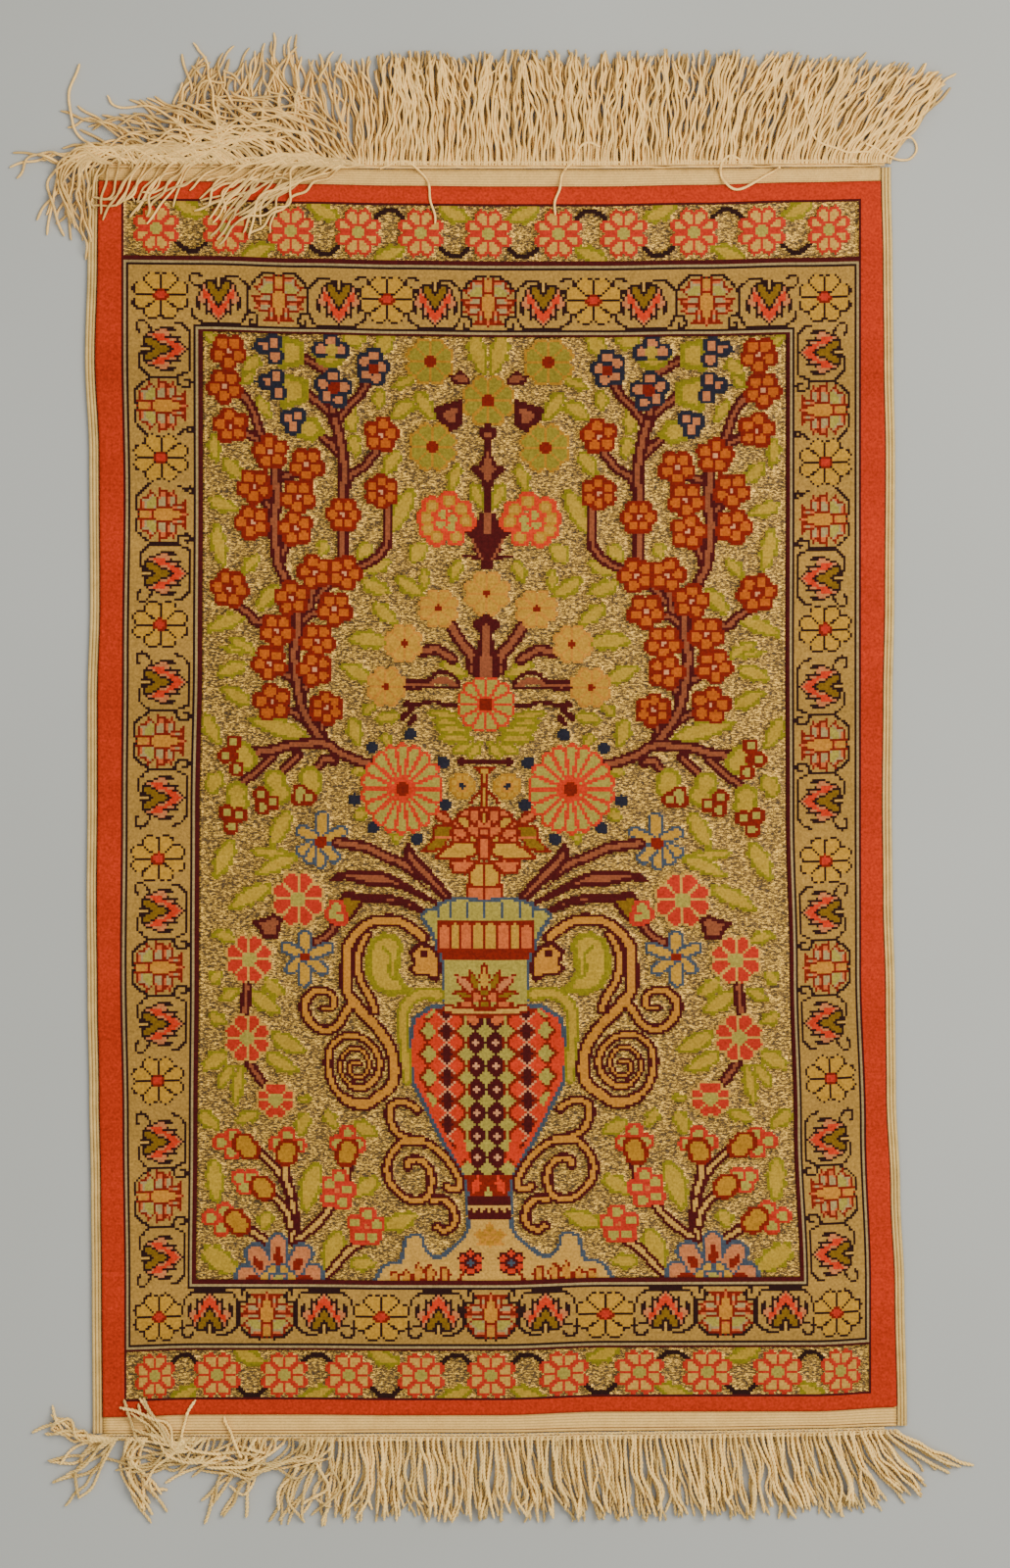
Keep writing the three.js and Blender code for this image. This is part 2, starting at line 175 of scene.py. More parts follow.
@dataclass
class Chart:
    """The weaver's chart of one half of the pile, a cell for each knot."""

    cells: np.ndarray = field(default_factory=lambda: np.zeros((ROWS, HALF), np.int8))

    def window(self, low: Place, high: Place) -> tuple[np.ndarray, np.ndarray, np.ndarray]:
        """Cuts out the cells between two corners.

        Args:
            low: The smallest out and row.
            high: The largest out and row.

        Returns:
            A view of the cells, and their outs and rows.
        """
        c0 = int(max(0, math.floor(low[0])))
        c1 = int(min(HALF, math.ceil(high[0]) + 1))
        r0 = int(max(0, math.floor(low[1])))
        r1 = int(min(ROWS, math.ceil(high[1]) + 1))
        rows, outs = np.mgrid[r0 : max(r1, r0), c0 : max(c1, c0)].astype(float)
        return self.cells[r0 : max(r1, r0), c0 : max(c1, c0)], outs, rows

    def band(self, outs: Place, rows: Place, yarn: Yarn) -> None:
        """Fills a block of cells, both ends of each span included."""
        self.cells[int(rows[0]) : int(rows[1]) + 1, int(outs[0]) : int(outs[1]) + 1] = yarn

    def cluster(self, places: Sequence[Place], radius: float, edge: Yarn, fill: Yarn,
                rim: float = 1.6) -> None:
        """Draws neighbouring squarish petals, all outlined together.

        Args:
            places: The petals' middles.
            radius: Half a petal's width inside its outline.
            edge: The yarn of the outlines, and of the gaps between the petals.
            fill: The yarn inside.
            rim: The outline's width.
        """
        middle = np.mean(places, axis=0)
        for spread, yarn in ((radius + rim, edge), (radius, fill)):
            for place in places:
                low, high = ((place[0] + side * spread, place[1] + side * spread) for side in (-1, 1))
                view, outs, rows = self.window(low, high)
                powers = np.abs(outs - place[0]) ** SQUARISH + np.abs(rows - place[1]) ** SQUARISH
                view[powers ** (1 / SQUARISH) <= spread] = yarn
            if yarn == edge and len(places) > 2:
                self.blob((middle[0], middle[1]), spread * 0.9, yarn)

    def shape(self, points: Sequence[Place], fill: Yarn, edge: Yarn, width: float) -> None:
        """Fills a straight-sided shape and draws a line along its sides."""
        self.polygon(points, fill)
        self.stroke([*points, points[0]], edge, width, smooth=False)

    def blob(self, at: Place, radius: float, yarn: Yarn, tall: float = 1.0) -> None:
        """Fills a round or oval spot.

        Args:
            at: Its middle.
            radius: Half its width, in knots.
            yarn: The yarn to fill it with.
            tall: Its height as a share of its width.
        """
        reach = radius * max(1.0, tall) + 1
        view, outs, rows = self.window((at[0] - reach, at[1] - reach), (at[0] + reach, at[1] + reach))
        view[np.hypot(outs - at[0], (rows - at[1]) / tall) <= radius] = yarn

    def stroke(self, points: Sequence[Place], yarn: Yarn, width: float = 1.0, taper: float = 0.0,
               smooth: bool = True) -> None:
        """Draws a line of knots.

        Args:
            points: The places that it passes.
            yarn: Its yarn.
            width: Its width in knots.
            taper: The share of the width that is lost by its last point.
            smooth: Whether it curves through the points.
        """
        line = smooth_points(points) if smooth else np.asarray(points, float)
        reach = width / 2 + 1
        view, outs, rows = self.window(tuple(line.min(axis=0) - reach), tuple(line.max(axis=0) + reach))
        starts, ends = line[:-1], line[1:]
        steps = ends - starts
        lengths = np.maximum((steps**2).sum(axis=1), 1e-9)
        from_out, from_row = outs[..., None] - starts[:, 0], rows[..., None] - starts[:, 1]
        share = np.clip((from_out * steps[:, 0] + from_row * steps[:, 1]) / lengths, 0, 1)
        away = np.hypot(from_out - share * steps[:, 0], from_row - share * steps[:, 1])
        half_width = width / 2 * (1 - taper * np.arange(len(steps)) / len(steps))
        view[(away - half_width).min(axis=-1) <= 0] = yarn

    def branch(self, points: Sequence[Place], width: float = 5.0, edge: Yarn = Yarn.MAROON,
               core: Yarn = Yarn.STEM, taper: float = 0.0) -> None:
        """Draws a stem: a dark line each side of a paler core."""
        self.stroke(points, edge, width, taper)
        self.stroke(points, core, width - 2.9, taper)

    def leaf(self, base: Place, tip: Place, width: float, edge: Yarn = Yarn.LEAF_EDGE,
             fill: Yarn = Yarn.LEAF, rim: float = 1.35) -> None:
        """Draws a pointed leaf with an uneven edge.

        Args:
            base: Its foot.
            tip: Its point.
            width: Its greatest width.
            edge: The yarn of its outline.
            fill: The yarn inside.
            rim: The outline's width.
        """
        a, b = np.asarray(base, float), np.asarray(tip, float)
        length = max(float(np.linalg.norm(b - a)), 1e-6)
        along = (b - a) / length
        low, high = np.minimum(a, b) - width, np.maximum(a, b) + width
        view, outs, rows = self.window(tuple(low), tuple(high))
        s = ((outs - a[0]) * along[0] + (rows - a[1]) * along[1]) / length
        side = (outs - a[0]) * along[1] - (rows - a[1]) * along[0]
        inside = (s > 0) & (s < 1)
        swell = np.sin(np.pi * np.clip(s, 0, 1) ** 0.85) ** 0.7
        uneven = 0.55 * np.sin(s * length * 1.25 + a[0] + np.sign(side)) * np.clip(width / 6, 0, 1)
        half = width / 2 * swell
        bow = 0.07 * width * np.sin(np.pi * s)
        view[inside & (np.abs(side - bow) <= half + uneven)] = edge
        view[inside & (np.abs(side - bow) <= half - rim) & (s > 0.1) & (s < 0.93)] = fill

    def polygon(self, points: Sequence[Place], yarn: Yarn) -> None:
        """Fills a shape with straight sides.

        Args:
            points: Its corners, in order.
            yarn: The yarn that fills it.
        """
        p = np.asarray(points, float)
        view, outs, rows = self.window(tuple(p.min(axis=0)), tuple(p.max(axis=0)))
        inside = np.zeros(view.shape, bool)
        for (x0, y0), (x1, y1) in zip(p, np.roll(p, -1, axis=0)):
            crosses = (y0 > rows) != (y1 > rows)
            at = x0 + (rows - y0) * (x1 - x0) / (y1 - y0 if y1 != y0 else 1e-9)
            inside ^= crosses & (outs < at)
        view[inside] = yarn

    def flower(self, at: Place, radius: float, petals: int, finish: "FlowerFinish", turn: float = 0.5,
               tall: float = 1.0) -> None:
        """Draws a round flower of equal petals.

        Args:
            at: Its middle.
            radius: Half its width.
            petals: How many petals it has.
            finish: Its yarns and proportions.
            turn: Where the first petal points, as a share of a petal's angle from straight out.
            tall: Its height as a share of its width.
        """
        reach = radius * max(1.0, tall) + 1
        view, outs, rows = self.window((at[0] - reach, at[1] - reach), (at[0] + reach, at[1] + reach))
        dx, dy = outs - at[0], (rows - at[1]) / tall
        away = np.hypot(dx, dy)
        phase = np.arctan2(dy, dx) / math.tau * petals - turn
        off = phase - np.round(phase)
        edge = radius * (1 - finish.scallop * (2 * np.abs(off)) ** finish.sharpness)
        beside = (0.5 - np.abs(off)) * 2 * math.pi / petals * away
        view[away <= edge] = finish.outline
        view[(away <= edge - finish.rim) & (beside > finish.divider / 2)] = finish.petal
        if finish.ring is not None:
            view[away <= finish.heart_radius + 1.1] = finish.ring
        view[away <= finish.heart_radius] = finish.heart

    def stamp(self, rows_of_chart: Sequence[str], key: dict[str, Yarn], locate: Callable[[Any, Any], tuple],
              low: Place, high: Place) -> None:
        """Works a small typed chart into the cells.

        Args:
            rows_of_chart: The half chart, its middle column first, a letter for each knot.
            key: The yarn for each letter. A dot leaves the knot as it is.
            locate: Gives each cell's column and row in the typed chart from its out and row.
            low: The smallest out and row that the motif reaches.
            high: The largest out and row that it reaches.
        """
        view, outs, rows = self.window(low, high)
        across, down = locate(outs, rows)
        column = np.floor(np.abs(across) + 0.5).astype(int)
        line = np.floor(down).astype(int)
        width = max(len(r) for r in rows_of_chart)
        table = np.full((len(rows_of_chart), width), -1)
        for i, text in enumerate(rows_of_chart):
            for j, letter in enumerate(text):
                table[i, j] = key.get(letter, -1)
        inside = (line >= 0) & (line < table.shape[0]) & (column < width)
        found = table[np.where(inside, line, 0), np.where(inside, column, 0)]
        mask = inside & (found >= 0)
        view[mask] = found[mask]

    def whole(self) -> np.ndarray:
        """The full chart: the half on the left mirrored to the right."""
        return np.hstack([self.cells[:, :0:-1], self.cells])


class FlowerFinish(NamedTuple):
    """The yarns and proportions of a round flower."""

    outline: Yarn
    petal: Yarn
    heart: Yarn
    heart_radius: float = 2.2
    rim: float = 1.1
    divider: float = 1.1
    scallop: float = 0.16
    sharpness: float = 2.4
    ring: Yarn | None = None


class Leaf(NamedTuple):
    """A leaf's foot, tip and width."""

    base_out: float
    base_row: float
    tip_out: float
    tip_row: float
    width: float


class Spot(NamedTuple):
    """A place with a radius, for a flower or a dot."""

    out: float
    row: float
    radius: float


class Blossom(NamedTuple):
    """A small blossom: its heart, where its first petal points in degrees, its petals and its size."""

    out: float
    row: float
    turn: float
    petals: int = 5
    size: float = 1.0


class Bud(NamedTuple):
    """A bud seen from the side: its petals, and the two middles of the fan-shaped calyx that holds them."""

    petals: list[Place]
    calyx: list[Place]


BLOSSOMS = [Blossom(*row) for row in (
    (107.9, 70.9, 90), (109.4, 85.4, 12), (107, 102.1, -7), (90.4, 112.7, -10), (75.3, 117.7, 18),
    (97, 127.4, 14), (78.9, 131.3, 16), (97.9, 142.6, 4), (79.9, 144.9, -5), (60.1, 138.4, 0, 6),
    (44.3, 104.1, 44), (44.1, 128.2, 30, 6), (71.7, 163.1, -3), (59.4, 163.2, 34),
    (107.2, 171.1, -9, 6, 1.15), (81.1, 174.3, -9), (63.3, 178.6, 17), (87.2, 188.3, 17), (70.4, 192.1, 16),
    (90.4, 202.1, 10), (71.4, 204.5, 0), (89, 218.8, -7, 5, 1.1), (66.3, 220.8, 35, 6),
)]
LEAVES = [Leaf(*row) for row in (
    (112.6, 67.4, 118.6, 62.4, 5), (94.7, 72.7, 101.9, 79.5, 7), (97.2, 79, 102.6, 85.2, 5),
    (96.1, 89.5, 89.7, 98.1, 6), (113.6, 105.2, 113, 118.1, 6), (110.1, 115.9, 101.1, 124.1, 7),
    (116.5, 133.1, 103.6, 137.4, 7), (113, 143, 109.7, 162.7, 7), (95.1, 156.3, 101.5, 164.9, 6),
    (86.5, 169.1, 96.1, 180.6, 7), (100.4, 182, 117.2, 189.5, 7), (96.1, 198.8, 107.9, 191.6, 6),
    (100, 198, 111.1, 195.9, 4), (99.7, 203.1, 112.9, 208.1, 7), (97.9, 220.2, 111.1, 213.1, 7),
    (117.2, 223.8, 110.1, 238.1, 7), (73.6, 233.4, 99.4, 226.3, 8), (67.2, 149.5, 69, 156.3, 6),
    (61, 64, 50, 64, 7), (40, 62, 46, 71, 8), (29.6, 79.5, 40.3, 84.9, 5), (45, 84.5, 45, 93.8, 6),
    (30.7, 90.2, 40.4, 97.4, 7), (29.6, 84.9, 21.8, 98.1, 7), (57, 91.6, 56, 104, 7),
    (56, 104, 54, 114.5, 6), (36.4, 110.6, 43.2, 122, 7), (11.8, 115.9, 15.4, 128.4, 6),
    (6.1, 123.8, 1.4, 135.2, 6), (31.1, 126.6, 39.6, 146.3, 8), (47.9, 150.6, 53.9, 157.4, 7),
    (52.1, 161.6, 39.3, 157.4, 7), (52.5, 165.9, 39.6, 170.9, 7), (37.9, 164.1, 25.4, 172.4, 7),
    (25.7, 160.2, 25.7, 170.9, 5), (26.1, 149.5, 31.1, 158.8, 8), (10.7, 156.6, 15, 166.6, 6),
    (47.1, 175.2, 36.4, 184.5, 7), (41.1, 192.4, 58.2, 190.9, 8), (47.5, 208.8, 61.1, 202.4, 7),
    (45.7, 218.4, 51.8, 223.8, 5), (35.4, 223.1, 46.4, 225.6, 6), (55.4, 224.1, 52.5, 237, 7),
    (41.8, 230.2, 39.6, 237, 5), (18.9, 200.2, 7, 206, 6), (110.1, 248.8, 114, 259.1, 8),
    (80.8, 264.5, 88.3, 280.6, 8), (97.9, 282, 78.6, 283.1, 5), (77.6, 284.1, 95.1, 292.4, 7),
    (104, 277.4, 112.2, 294.9, 8), (88.3, 296.6, 106.5, 307.4, 8), (102.9, 320.2, 113.3, 317.7, 6),
    (48.9, 246, 55.7, 248.5, 5), (48.2, 264.5, 54.6, 267.7, 6), (34.6, 273.8, 38.2, 277.7, 5),
    (109.4, 333.4, 113.3, 339.9, 6), (101.9, 340.9, 109.7, 346.6, 6), (91.5, 336.3, 82.9, 343.8, 7),
    (97.2, 341.6, 84, 351.6, 8), (114.4, 351.6, 106.5, 355.9, 6), (88.6, 359.5, 74, 367.7, 8),
    (90.8, 368.1, 76.9, 376.3, 7), (106.1, 368.4, 116.9, 375.9, 8), (103.6, 373.4, 110.4, 384.1, 6),
    (100.4, 373.1, 103.3, 391.6, 6), (77.9, 387.4, 71.1, 387.4, 4), (92.9, 394.1, 103.3, 397.7, 6),
    (117.6, 393, 109, 401, 7), (73, 393, 77, 404, 7), (66, 392, 61, 400, 6), (54.6, 397, 44, 403, 7),
    (111.5, 412.9, 110.1, 432.9, 8), (69.4, 414.3, 74.4, 436.4, 9), (88.6, 435.7, 92.2, 443.6, 7),
    (115.8, 450.4, 101.1, 461.8, 10), (60.1, 443.2, 65.8, 461.8, 9), (44.3, 421.1, 54.3, 428.9, 8),
    (43.2, 441.8, 28.6, 436.1, 8), (56.8, 457.5, 45.7, 456.8, 7), (6, 60, 1.5, 79, 8),
    (24.5, 221.6, 9, 223, 4.4), (22.5, 225.4, 9, 225.6, 4.4), (21.1, 228.6, 5, 228.6, 5),
    (19.6, 232.6, 4, 232.2, 5), (13.5, 238.5, 4, 234, 5), (7, 241, 1, 233, 5),
)]
# The trees' trunks and twigs, the widest first.
TRUNKS = [
    [(63.6, 98), (61.8, 105.2), (60.4, 112.4), (59.7, 120.2), (60.2, 127.4), (60, 134)],
    [(60.4, 144), (60.4, 153), (60, 159)],
    [(88.3, 118), (87.9, 134), (89, 141.6), (88.3, 149.5), (87.9, 153.8), (86.9, 160.2), (84.7, 164.9),
     (82.6, 169.4)],
    [(78.6, 179), (79, 189.5), (80.1, 196.6), (79.7, 203.8), (78.3, 213.8), (76.5, 220.9), (73.6, 226.6),
     (69.4, 232.4), (66.9, 236)],
    [(97.2, 240.5), (87.9, 239), (81.5, 237), (66.9, 236), (60, 240), (51, 243.4), (48.6, 243.6)],
]
TWIGS = [
    [(49.3, 80.9), (53.2, 87.4), (58.2, 93), (61.8, 98)], [(76.9, 72.4), (66.5, 78.1)],
    [(75.1, 87.7), (70.1, 91.6), (65.8, 95.6), (64, 99.5)], [(64.7, 91.6), (64.3, 99)],
    [(69, 105.6), (65.1, 108.8), (62.6, 112)],
    [(45, 109.5), (47.9, 113.4), (51.8, 118), (56.8, 121.6), (58.9, 125.9)],
    [(41.3, 135.6), (41.8, 149.5), (43.2, 153), (47.5, 157.4), (52.5, 160.2)], [(85.8, 123.1), (80, 121.6)],
    [(102.6, 88.4), (99.7, 91.6), (97.2, 96.6), (95.8, 101.6), (94, 106.5)],
    [(101.1, 104.9), (95.8, 107.4)], [(92.2, 134.1), (89.7, 137)], [(92.2, 145.9), (89.4, 148.1)],
    [(82.9, 150.9), (85.4, 155.9), (86, 158.8)],
    [(72.2, 168.4), (73.6, 178.1), (76.1, 183.1), (77.6, 185.9)], [(65.1, 166.6), (70.8, 174.5)],
    [(69, 179.9), (73, 181), (76.1, 183.8)], [(105.1, 177.4), (99.9, 180.9), (95.8, 184.9), (92.2, 183.8)],
    [(84, 206.6), (80.8, 208.8), (79, 211.6)], [(74.7, 210.6), (76.9, 215.9)],
    [(82.9, 221.6), (76.5, 225.2), (70.1, 232.4)], [(67.6, 225.9), (68.3, 230.2), (67.2, 234.5)],
    [(88.6, 242.4), (92.9, 246.6), (97.2, 250.2), (101.1, 253.4)], [(77.9, 240.9), (83.6, 247.4)],
    [(62.9, 243.1), (66.5, 242.4), (69.4, 246.3)], [(98.6, 339.5), (99.4, 350.9)],
    [(97.2, 373.1), (91.9, 380.9)], [(60.8, 312), (65, 317.5), (70.1, 320.9)],
]
# Salmon petals outlined in navy at the trees' tops.
NAVY_BLOSSOMS = [
    [(47.4, 70.9), (51.4, 73.4), (44.3, 75.6), (50.7, 78.9), (46.2, 80.2)],
    [(69.5, 68.8), (60.9, 68.8), (65.2, 65.6)],
    [(64.6, 80.1), (68.6, 83.4), (59.6, 84.5), (66.9, 88.4), (62.2, 89.9)],
    [(93.6, 67.9), (89.1, 66.3), (88.4, 72.2)], [(92.1, 83.1), (87.9, 80.7), (87.1, 87.4)],
    [(82.9, 97.9), (78.9, 97), (81, 101.6)],
]
CALYXES = [
    [(86, 64.5), (77.6, 66.5), (77.6, 74.5), (86, 76.3)], [(85.8, 79.9), (76, 82.5), (75.8, 90), (85, 93.1)],
    [(80.8, 97.7), (72, 98.5), (69, 103.5), (73, 107), (80, 104.5)],
    [(71.9, 70.9), (69.5, 74.5), (65.8, 75.9), (62, 74.5), (59.7, 70.9)],
]
# The green pods and trefoils below the trees, and the buds of the plants at the lower corners.
PODS = [Bud(*row) for row in (
    ([(104.7, 236.3), (107.9, 242), (103.3, 247.4)], [(101.6, 240.2), (99.4, 243.4)]),
    ([(92.9, 258.2), (88.3, 261.3), (92.2, 263.6)], [(87.2, 252), (85, 257.4)]),
    ([(107.2, 266.1), (101.9, 267), (105.4, 272)], [(102.9, 257.6), (102.6, 262)]),
    ([(76.6, 256.6), (73.2, 259), (77, 259.4)], [(72.6, 250.4), (72, 253.6)]),
)]
LOWER_BUDS = [Bud(*row) for row in (
    ([(104, 403.8), (108.8, 406.4), (104.5, 410.4)], [(99.8, 406.6), (97.4, 409.4)]),
    ([(81.9, 403.2), (86, 406.8), (77.4, 407.5)], [(81.5, 409.4), (82.2, 411.6)]),
    ([(56.9, 401.9), (61.2, 406.4), (52.9, 406.8)], [(56.9, 409), (57.6, 411.8)]),
    ([(101.1, 421.4), (96.5, 421.1), (99.1, 425.5)], [(92.6, 424.6), (91, 426.6)]),
    ([(107.2, 435.4), (112.9, 438.4), (108.3, 442.9)], [(103.2, 438.8), (101, 441.6)]),
)]
LOWER_BLOSSOMS = [
    [(64.4, 423.9), (60.4, 420.9), (57.2, 426), (59.3, 431.4), (64.6, 430)],
    [(49.3, 436.6), (45.6, 440.7), (47.4, 446.2), (52.8, 446), (54.2, 440)],
]
LOWER_STEMS = [
    [(92.9, 410.7), (87.9, 415.4), (83.6, 421.1), (80.8, 427.5), (79.4, 434.6), (79, 440.4), (79.4, 448)],
    [(82.6, 415.4), (82.2, 421.8), (80.1, 428.2)],
    [(88.6, 428.9), (85.1, 431.4), (81.5, 436.8), (80.5, 441.8)],
    [(97.2, 443.2), (92.2, 446.8), (88, 449.6)],
    [(77.2, 447.1), (70.8, 441.8), (65.8, 436.1), (64.7, 433.9)], [(57, 415), (57.6, 422)],
    [(51.8, 448.2), (57.5, 452.5), (63.6, 460), (67.9, 463.9)],
]
GREEN_FLOWERS = [Spot(24.1, 73, 10.5), Spot(0, 89.3, 11.2), Spot(22.9, 109, 10.6)]
GOLD_FLOWERS = [Spot(0, 170.8, 9.8), Spot(19.8, 177.4, 8.8), Spot(34.4, 192.5, 8.2), Spot(41.6, 211, 8.6)]
RED_DAISIES = [Spot(77.4, 302.4, 11.4), Spot(97.7, 328.4, 10.3), Spot(98.4, 362, 10), Spot(86.5, 388.3, 8.3)]
NAVY_DOTS = [(31.1, 231.3), (47.1, 237), (17.1, 242.7), (53.9, 259.5), (16.1, 260.7), (46.1, 271.4),
             (27.7, 275.9)]

MINOR_FLOWER = FlowerFinish(Yarn.BRIGHT_RED, Yarn.TAN, Yarn.SAGE, heart_radius=2.6, rim=1.5, divider=1.9,
                            scallop=0.22, sharpness=2.0, ring=Yarn.BRIGHT_RED)
BORDER_FLOWER = FlowerFinish(Yarn.BLACK, Yarn.YELLOW, Yarn.BRIGHT_RED, heart_radius=2.1, rim=0.9,
                             divider=0.95, scallop=0.2, sharpness=2.0, ring=Yarn.DARK_RED)
GREEN_FLOWER = FlowerFinish(Yarn.GOLD, Yarn.GREEN, Yarn.DARK_RED, heart_radius=2.7, divider=1.0,
                            scallop=0.18)
GOLD_FLOWER = FlowerFinish(Yarn.AMBER, Yarn.YELLOW, Yarn.DARK_RED, heart_radius=1.5, divider=0.9,
                           scallop=0.2)
RED_DAISY = FlowerFinish(Yarn.TAN, Yarn.BRIGHT_RED, Yarn.SAGE, heart_radius=3.0, rim=0.9, divider=0.9,
                         scallop=0.2)
CORAL_FLOWER = FlowerFinish(Yarn.CORAL, Yarn.SAGE, Yarn.DARK_RED, heart_radius=2.9, divider=1.2,
                            scallop=0.12, ring=Yarn.CORAL)
GREAT_DAISY = FlowerFinish(Yarn.CORAL, Yarn.SAGE, Yarn.DARK_RED, heart_radius=2.6, rim=1.3, divider=1.5,
                           scallop=0.1, ring=Yarn.CORAL)
YELLOW_FLOWER = FlowerFinish(Yarn.GOLD, Yarn.YELLOW, Yarn.AMBER, heart_radius=2.4, rim=0.8, divider=0.8,
                             scallop=0.12)
FOOT_FLOWER = FlowerFinish(Yarn.MAROON, Yarn.CORAL, Yarn.SLATE, heart_radius=1.2, rim=0.9, divider=0.9,
                           scallop=0.18, ring=Yarn.MAROON)

# Half charts of the main border's tulip and palmette, the middle column first and the outer side on top.
TULIP = [
    "WK........", "WKKKKK....", "WKKGGKK...", "WKGGGKPK..", "KKGGGKPK..", "KGGGKPOK..", "GGGGKOOPK.",
    "GGGKOOOPK.", "GGKPOOOPPK", "GGKPOKPPPK", "GKPOOKPPKK", "KKOOPKK.KK", "KOOOPK..KK", "OOOKPK..K.",
    "OOOKKK....", "OOPK.K....", "OPK.......", "PK........", "K.........",
]
PALMETTE = [
    "R.R.........", "OORRRRR.....", "OYRPPPTR....", "YYRTTTTR....", "YYRSSSTRR...", "YPRSSSSTPRR.",
    "RRRSSSSSTR..", "OORTSSSSR...", "OOORRRRR....", "YYYRTTTPRRRR", "YYYRTTTTPPR.", "YYYRRRRRRRR.",
    "YYYRRPPPRR..", "YYYRTTTTRP..", "YYRPRTTTPRR.", "YYRPRRRRR...", "YORTR.......", "YRRTR.......",
    "PRRPRR......", "PRRRRRR.....", "R...........",
]
BORDER_KEY = {
    "K": Yarn.BLACK, "W": Yarn.TAN, "G": Yarn.OLIVE, "P": Yarn.SALMON, "O": Yarn.CORAL, "R": Yarn.DARK_RED,
    "Y": Yarn.AMBER, "S": Yarn.SAGE, "T": Yarn.CREAM,
}
PALMETTE_KEY = BORDER_KEY | {"O": Yarn.AMBER, "P": Yarn.PINK}


class Motif(Enum):
    """The motifs of the main border."""

    FLOWER = "flower"
    TULIP = "tulip"
    PALMETTE = "palmette"


class Station(NamedTuple):
    """A motif of the main border, and where it stands along its side."""

    motif: Motif
    along: float


def stations(order: str, places: Sequence[float]) -> list[Station]:
    """Names a run of border motifs by their first letters.

    Args:
        order: One letter for each motif.
        places: Where each stands along the side.

    Returns:
        The stations, in order.
    """
    letters = {"F": Motif.FLOWER, "T": Motif.TULIP, "P": Motif.PALMETTE}
    return [Station(letters[letter], place) for letter, place in zip(order, places)]


# The vine's lines between two motifs: which way each runs, and its points as (distance, depth). The distance
# starts halfway between a tulip and a palmette, and at the other motif where one of the two is a flower.
VINE_ORDER = [Motif.TULIP, Motif.PALMETTE, Motif.FLOWER]
VINES: dict[frozenset[Motif], list[tuple[int, list[Place]]]] = {
    frozenset({Motif.TULIP, Motif.PALMETTE}): [
        (-1, [(0, 9), (0, 18.5)]), (-1, [(0, 9), (1, 7), (2.5, 5.8), (4, 4.4), (8.5, 4.2), (11, 5.4)]),
        (1, [(0, 9), (1.7, 6.5), (2.7, 5), (4.2, 3.8), (5.5, 2.5), (10.5, 2.4), (12.2, 4.2)]),
        (-1, [(0, 18.5), (0.8, 20), (1.8, 22), (3.3, 23.7), (12, 23.9)]),
        (1, [(0, 18.5), (2.6, 18.9), (3.8, 20.5), (4, 22.8), (3, 24), (1.2, 23.9), (1.1, 22)]),
    ],
    frozenset({Motif.TULIP, Motif.FLOWER}): [
        (1, [(0, 23.9), (6, 23.9), (8.4, 22.6), (10.4, 21), (11.2, 18.3)]),
        (1, [(6.4, 8.4), (9, 8.4), (10.6, 7.4), (11.9, 6), (11.9, 4.3), (10.8, 3.1), (8.3, 3), (7.3, 4.4)]),
    ],
    frozenset({Motif.PALMETTE, Motif.FLOWER}): [
        (1, [(1, 4.4), (2, 2.6), (7, 2.4), (9, 3.6), (11, 5.4), (13, 7.4)]),
        (1, [(12.4, 19), (10.8, 21.2), (9.2, 23.6), (9.4, 24.6), (11.4, 24.2), (11.2, 22.8)]),
    ],
}


